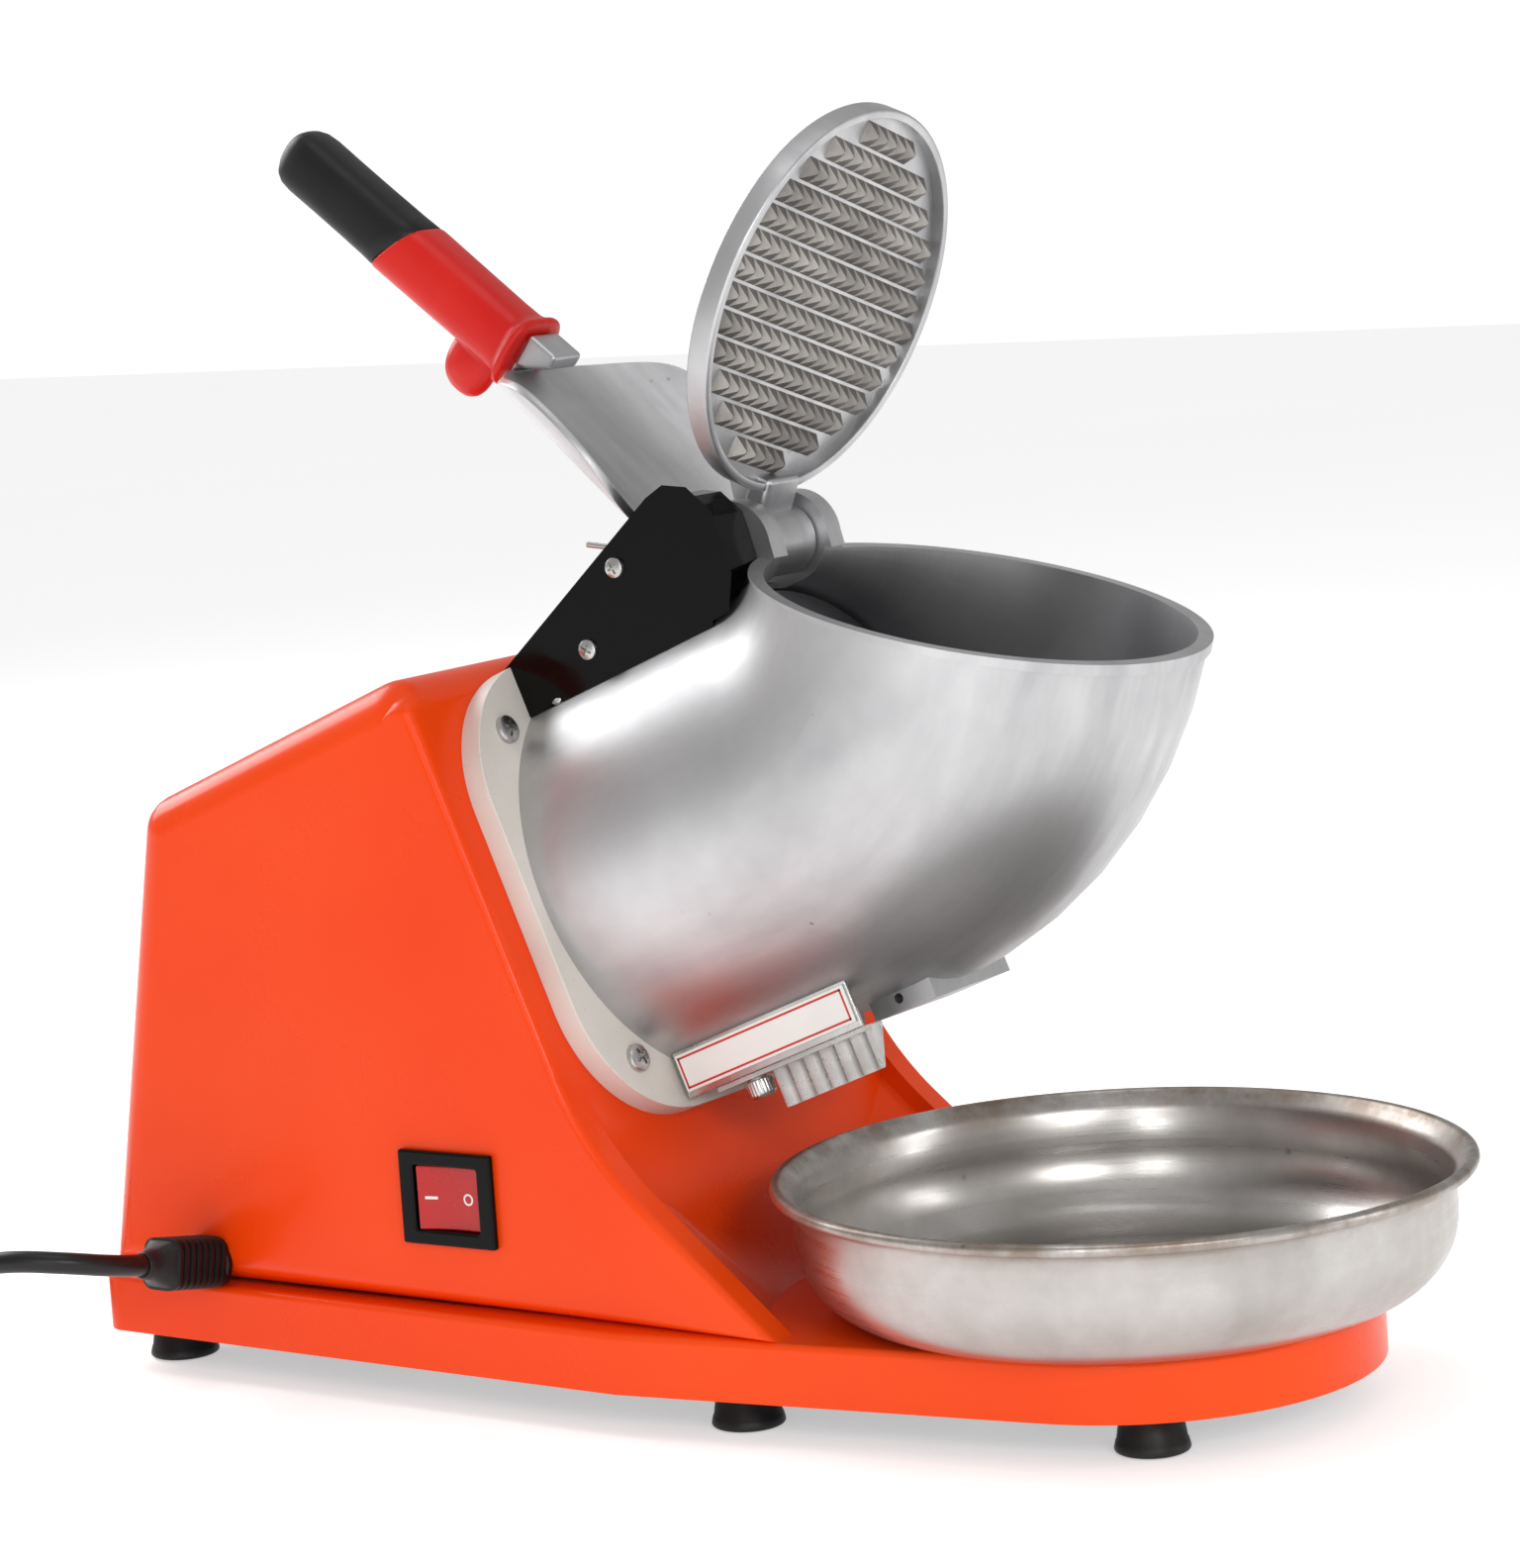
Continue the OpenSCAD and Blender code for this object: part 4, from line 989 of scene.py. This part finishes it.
# The press plate: its radius, and its rows of teeth
PLATE_R = 62 * MM
ROW_PITCH = 8.6 * MM
TOOTH_PITCH = 6.2 * MM
TOOTH_DEPTH = 4.2 * MM
ROW_TURN = math.radians(15.5)


def make_press_plate():
    """A dished disc with a raised rim, and rows of pyramid teeth inside it."""
    r, t = PLATE_R, 3 * MM
    bm = bmesh.new()
    profile = [(0, 8 * MM), (r - 1.2 * MM, 8 * MM)] + arc((r - 1.2 * MM, 6.8 * MM), 1.2 * MM, 90, 0, 4)
    profile += arc((r - 1.0 * MM, 1.0 * MM), 1.0 * MM, 0, -90, 4)
    profile += arc((r - t + 0.6 * MM, 0.6 * MM), 0.6 * MM, -90, -180, 3)
    profile += [(r - t, 4.0 * MM), (0, 4.0 * MM)]
    lathe(bm, profile, 144)
    disc = smooth(new_object("press_disc", bm, PLATE, ("cast_aluminium",)), 40)
    add_piece(disc, "lever", ("press_plate",))

    tooth = bmesh.new()
    wide, long = ROW_PITCH * 0.46, TOOTH_PITCH * 0.49
    corners = ((-1, -1), (1, -1), (1, 1), (-1, 1))
    root_z = 4.2 * MM
    base = [tooth.verts.new((x * wide, y * long, root_z)) for x, y in corners]
    tip = [tooth.verts.new((x * 0.5 * MM, y * 0.35 * MM, root_z - TOOTH_DEPTH)) for x, y in corners]
    tooth.faces.new(base)
    tooth.faces.new(tip[::-1])
    for k in range(4):
        tooth.faces.new([base[k], base[(k + 1) % 4], tip[(k + 1) % 4], tip[k]])
    turned = PLATE @ Matrix.Rotation(ROW_TURN, 4, "Z")
    places = []
    for i in range(-int(r // ROW_PITCH), int(r // ROW_PITCH) + 1):
        for j in range(-int(r // TOOTH_PITCH), int(r // TOOTH_PITCH) + 1):
            x, y = i * ROW_PITCH, (j + 0.5 * (i % 2)) * TOOTH_PITCH
            if math.hypot(abs(x) + wide, abs(y) + long) < r - t + 0.2 * MM:
                places.append(turned @ Matrix.Translation((x, y, 0)))
    teeth = repeated("press_teeth", new_object("tooth", tooth), places, "cast_teeth")
    add_piece(teeth, "lever")


def grip_rings(stations):
    """Soft square sections along the grip's frame; slant leans a ring over."""
    rings = []
    for x, width, height, power, slant in stations:
        rings.append([GRIP @ (Vector((x + slant * z / height, y, z)) * MM)
                      for y, z in rounded_outline(width, height, power, 40)])
    return rings


def make_handle():
    """The red sleeve and the black grip; each station is x, width, height, squareness and slant."""
    slant = 10
    bm = bmesh.new()
    loft(bm, grip_rings([
        (1, 22, 22, 3, 0), (1.6, 25, 25, 3.4, 0), (3.6, 25.6, 25.6, 3.4, 0), (4.6, 23.4, 23.4, 3.2, 0),
        (7, 21.4, 21.8, 3, 0), (14, 21.4, 21.8, 2.8, 0), (30, 21.6, 22, 2.8, 1), (44, 21.8, 22, 2.9, 4),
        (54, 22, 22, 3, 8), (59, 22, 22, 3, slant), (60.2, 21.4, 21.4, 3, slant)]))
    sleeve = new_object("red_sleeve_body", bm, finishes=("red_sleeve",))
    # The finger guard: a lobe under the sleeve, merged into it
    rings = []
    for k in range(9):
        a = math.pi * k / 8
        depth, wide = math.cos(a), max(math.sin(a), 0.05)
        rings.append([GRIP @ (Vector((18 + x * wide, depth * 4.9, 15 + z * wide)) * MM)
                      for x, z in rounded_outline(20, 24, 2.4, 32)])
    bm = bmesh.new()
    loft(bm, rings)
    lobe = new_object("lobe", bm)
    join = sleeve.modifiers.new("join", "BOOLEAN")
    join.operation, join.object, join.solver = "UNION", lobe, "EXACT"
    remesh = sleeve.modifiers.new("even", "REMESH")
    remesh.mode, remesh.voxel_size = "VOXEL", 0.7 * MM
    soft = sleeve.modifiers.new("soft", "SMOOTH")
    soft.factor, soft.iterations = 0.5, 5
    baked(sleeve)
    bpy.data.objects.remove(lobe)
    sleeve.data.materials.clear()
    sleeve.data.materials.append(FINISHES["red_sleeve"])
    sleeve.data.shade_smooth()
    add_piece(sleeve, "lever", ("lever_sleeve",))

    bm = bmesh.new()
    loft(bm, grip_rings([
        (60.0, 20.6, 20.6, 3, slant), (60.6, 21.4, 21.4, 3, slant), (66, 21, 21, 3, 8),
        (80, 20.6, 20.8, 3, 3),
        (94, 20.6, 20.8, 3, 0), (105, 20.8, 21, 3, 0), (109.4, 20, 20.4, 2.9, 0), (112, 18, 18.6, 2.7, 0),
        (113.9, 14.4, 15, 2.4, 0), (114.7, 8, 9, 2.2, 0)]))
    grip = new_object("grip_end", bm, finishes=("black_rubber",))
    add_piece(smooth(grip, 50), "lever", ("lever_grip",))


# ---- Rocker switch ----
def make_switch():
    add_copy("switch_bezel", "bezel", "black_gloss", 0.9 * MM, 3)
    low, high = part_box("rocker")
    pivot = Vector(JOINTS["rocker_tilt"]["pos_m"])
    place = Matrix.Translation(pivot) @ Matrix.Rotation(math.radians(5), 4, "Z")
    half_h = (high.z - low.z) / 2
    front = [(-11.7 + 23.4 * k / 12, -5.4 + 1.2 * math.cos(math.pi * (k / 6 - 1) / 2)) for k in range(13)]
    outline = [(x * MM, y * MM) for x, y in front] + [(10 * MM, 2 * MM), (-10 * MM, 2 * MM)]
    bm = bmesh.new()
    prism(bm, outline, -half_h, half_h, place @ Matrix.Rotation(-math.pi / 2, 4, "X"))
    rocker = bevelled(new_object("rocker_cap", bm, finishes=("red_rocker",)), 0.6 * MM, 3, 30)
    add_piece(rocker, "rocker", ("rocker",))
    # The marks: a bar for on, at the rear, and a ring for off
    bm = bmesh.new()
    slope = math.radians(8)
    bar = place @ Matrix.Translation(Vector((-6.8, -4.66, 0)) * MM) @ Matrix.Rotation(slope, 4, "Z")
    block(bm, Vector((-2.2, -0.12, -0.45)) * MM, Vector((2.2, 0.5, 0.45)) * MM, bar)
    ring_place = (place @ Matrix.Translation(Vector((6.8, -4.66, 0)) * MM) @ Matrix.Rotation(-slope, 4, "Z")
                  @ Matrix.Rotation(math.pi / 2, 4, "X"))
    lathe(bm, [(1.3 * MM, -0.5 * MM), (1.9 * MM, -0.5 * MM), (1.9 * MM, 0.12 * MM), (1.3 * MM, 0.12 * MM),
               (1.3 * MM, -0.5 * MM)], 32, ring_place)
    add_piece(new_object("rocker_marks", bm, finishes=("white_print",)), "rocker")


def make_strain_relief():
    """A flat moulded boot with fine ribs, its taper, and its collar on the wall."""
    root = Vector((-173 * MM, -87 * MM, 40 * MM))
    rise = math.radians(11)
    place = Matrix.Translation(root) @ Matrix.Rotation(math.pi / 2 - rise, 4, "X")
    stations = [(-1.0, 14, 15, 4)]
    for rib in range(8):
        z = 2.6 + rib * 3.0
        stations += [(z, 14, 15, 4), (z + 0.35, 15.8, 16.8, 4), (z + 1.75, 15.8, 16.8, 4),
                     (z + 2.1, 14, 15, 4)]
    stations += [(27.4, 13, 13.6, 3), (29.5, 10.6, 11, 2.4), (32, 9.2, 9.6, 2), (34.4, 8.6, 8.8, 2),
                 (35.0, 7.6, 7.8, 2)]
    bm = bmesh.new()
    loft(bm, [[place @ (Vector((x, y, z)) * MM) for x, y in rounded_outline(w, h, p, 40)]
              for z, w, h, p in stations])
    collar = Matrix.Translation(root) @ Matrix.Rotation(math.pi / 2, 4, "X")
    lathe(bm, [(0, -3 * MM), (6 * MM, -3 * MM), (6 * MM, 0), (7.9 * MM, 0), (7.9 * MM, 1.8 * MM),
               (7.3 * MM, 2.5 * MM), (0, 2.5 * MM)], 48, collar)
    boot = smooth(new_object("cord_boot", bm, finishes=("black_rubber",)), 40)
    add_piece(boot, "base", ("strain_relief",))


# ---- Bowl ----
def make_bowl():
    """Spun from sheet: a flat floor with a step, a round corner, an upright wall and a rolled lip."""
    low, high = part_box("bowl")
    centre = Matrix.Translation(((low.x + high.x) / 2, (low.y + high.y) / 2, low.z))
    rim, tall = (high.x - low.x) / 2, high.z - low.z
    wall, corner, sheet, bead = rim - 7 * MM, 24 * MM, 0.9 * MM, 2 * MM
    outside = [(0, 0.6 * MM), (wall - corner - 6 * MM, 0.6 * MM), (wall - corner - 4 * MM, 0)]
    outside += arc((wall - corner, corner), corner, -90, 0, 14)
    outside += [(wall, tall - 7 * MM)] + [(wall + 0.4 * MM, tall - 6 * MM), (wall + 1.4 * MM, tall - 5 * MM)]
    outside += [(rim - 2 * bead + 0.3 * MM, tall - 2.6 * MM)]
    outside += arc((rim - bead, tall - bead), bead, -130, 150, 14)
    inside = arc((wall - corner, corner), corner - sheet, 0, -90, 14)
    inside = [(wall + 0.6 * MM, tall - 3.8 * MM), (wall - sheet, tall - 6.2 * MM)] + inside
    inside += [(wall - corner - 4 * MM, sheet), (wall - corner - 6 * MM, sheet + 0.6 * MM),
               (0, sheet + 0.6 * MM)]
    bm = bmesh.new()
    lathe(bm, outside + inside, 160)
    bowl = smooth(new_object("steel_bowl", bm, centre, ("bowl_steel",)), 50)
    add_piece(bowl, "bowl", ("bowl",))


# ---- Floor and lights ----
def make_floor():
    bm = bmesh.new()
    bmesh.ops.create_grid(bm, x_segments=2, y_segments=2, size=6)
    floor = new_object("floor", bm, Matrix.Translation((0, 0, -0.0005)))
    floor.data.materials.clear()
    # The paper glows a little, so that it stays white away from the lamps
    paper = Finish("floor_paper", Emission_Color=(1, 1, 1, 1), Emission_Strength=0.46)
    tone = paper.mix(paper.noise(2), (0.92, 0.92, 0.92, 1), (0.95, 0.95, 0.95, 1))
    rough = paper.ramp(paper.noise(3), 0, 1, 0.8, 0.9)
    floor.data.materials.append(paper.drive(Base_Color=tone, Roughness=rough))


def make_light(name, place, target, size, power, height=None):
    """An area lamp at a place, turned to its target; a height makes it a strip."""
    data = bpy.data.lights.new(name, "AREA")
    data.energy, data.size = power, size
    if height:
        data.shape, data.size_y = "RECTANGLE", height
    lamp = bpy.data.objects.new(name, data)
    lamp.location = place
    lamp.rotation_euler = (Vector(target) - Vector(place)).to_track_quat("-Z", "Y").to_euler()
    bpy.context.scene.collection.objects.link(lamp)


def make_lights():
    world = bpy.data.worlds.new("studio")
    world.use_nodes = True
    nodes, link = world.node_tree.nodes, world.node_tree.links.new
    sky = nodes["Background"]
    sky.inputs["Color"].default_value = (1, 1, 1, 1)
    # The sky lights the machine softly, and the camera sees it white
    as_light, as_seen = 0.48, 1.05
    paths = nodes.new("ShaderNodeLightPath")
    strength = nodes.new("ShaderNodeMapRange")
    link(paths.outputs["Is Camera Ray"], strength.inputs["Value"])
    strength.inputs["To Min"].default_value = as_light
    strength.inputs["To Max"].default_value = as_seen
    link(strength.outputs["Result"], sky.inputs["Strength"])
    bpy.context.scene.world = world
    bpy.context.scene.view_settings.view_transform = "Standard"
    middle = (0, 0, 0.15)
    make_light("front_strip", (0.68, -1.75, 0.55), (0.1, 0, 0.12), 0.16, 5, 1.3)
    make_light("right_strip", (1.75, 0.65, 0.5), (0.1, 0, 0.12), 0.16, 5, 1.2)
    make_light("edge_box", (1.45, -1.12, 0.82), middle, 0.42, 8)
    make_light("roof_box", (-1.55, 0.2, 1.1), (-0.1, 0, 0.2), 1.0, 16)
    make_light("top_soft", (0.2, -0.3, 2.0), middle, 1.0, 4)


def finish_nodes():
    """Every CAD node that still shows gets the finish of its slot in the record."""
    for obj in frame["nodes"].values():
        slot_name = obj.data.materials[0].name
        obj.data.materials.clear()
        obj.data.materials.append(FINISHES[slot_name])


finish_nodes()
make_body()
make_feet()
make_hopper()
make_screws()
make_outlet()
make_thumb_screw()
make_cover()
make_shield()
make_press_plate()
make_handle()
make_switch()
make_strain_relief()
make_bowl()
make_floor()
make_lights()
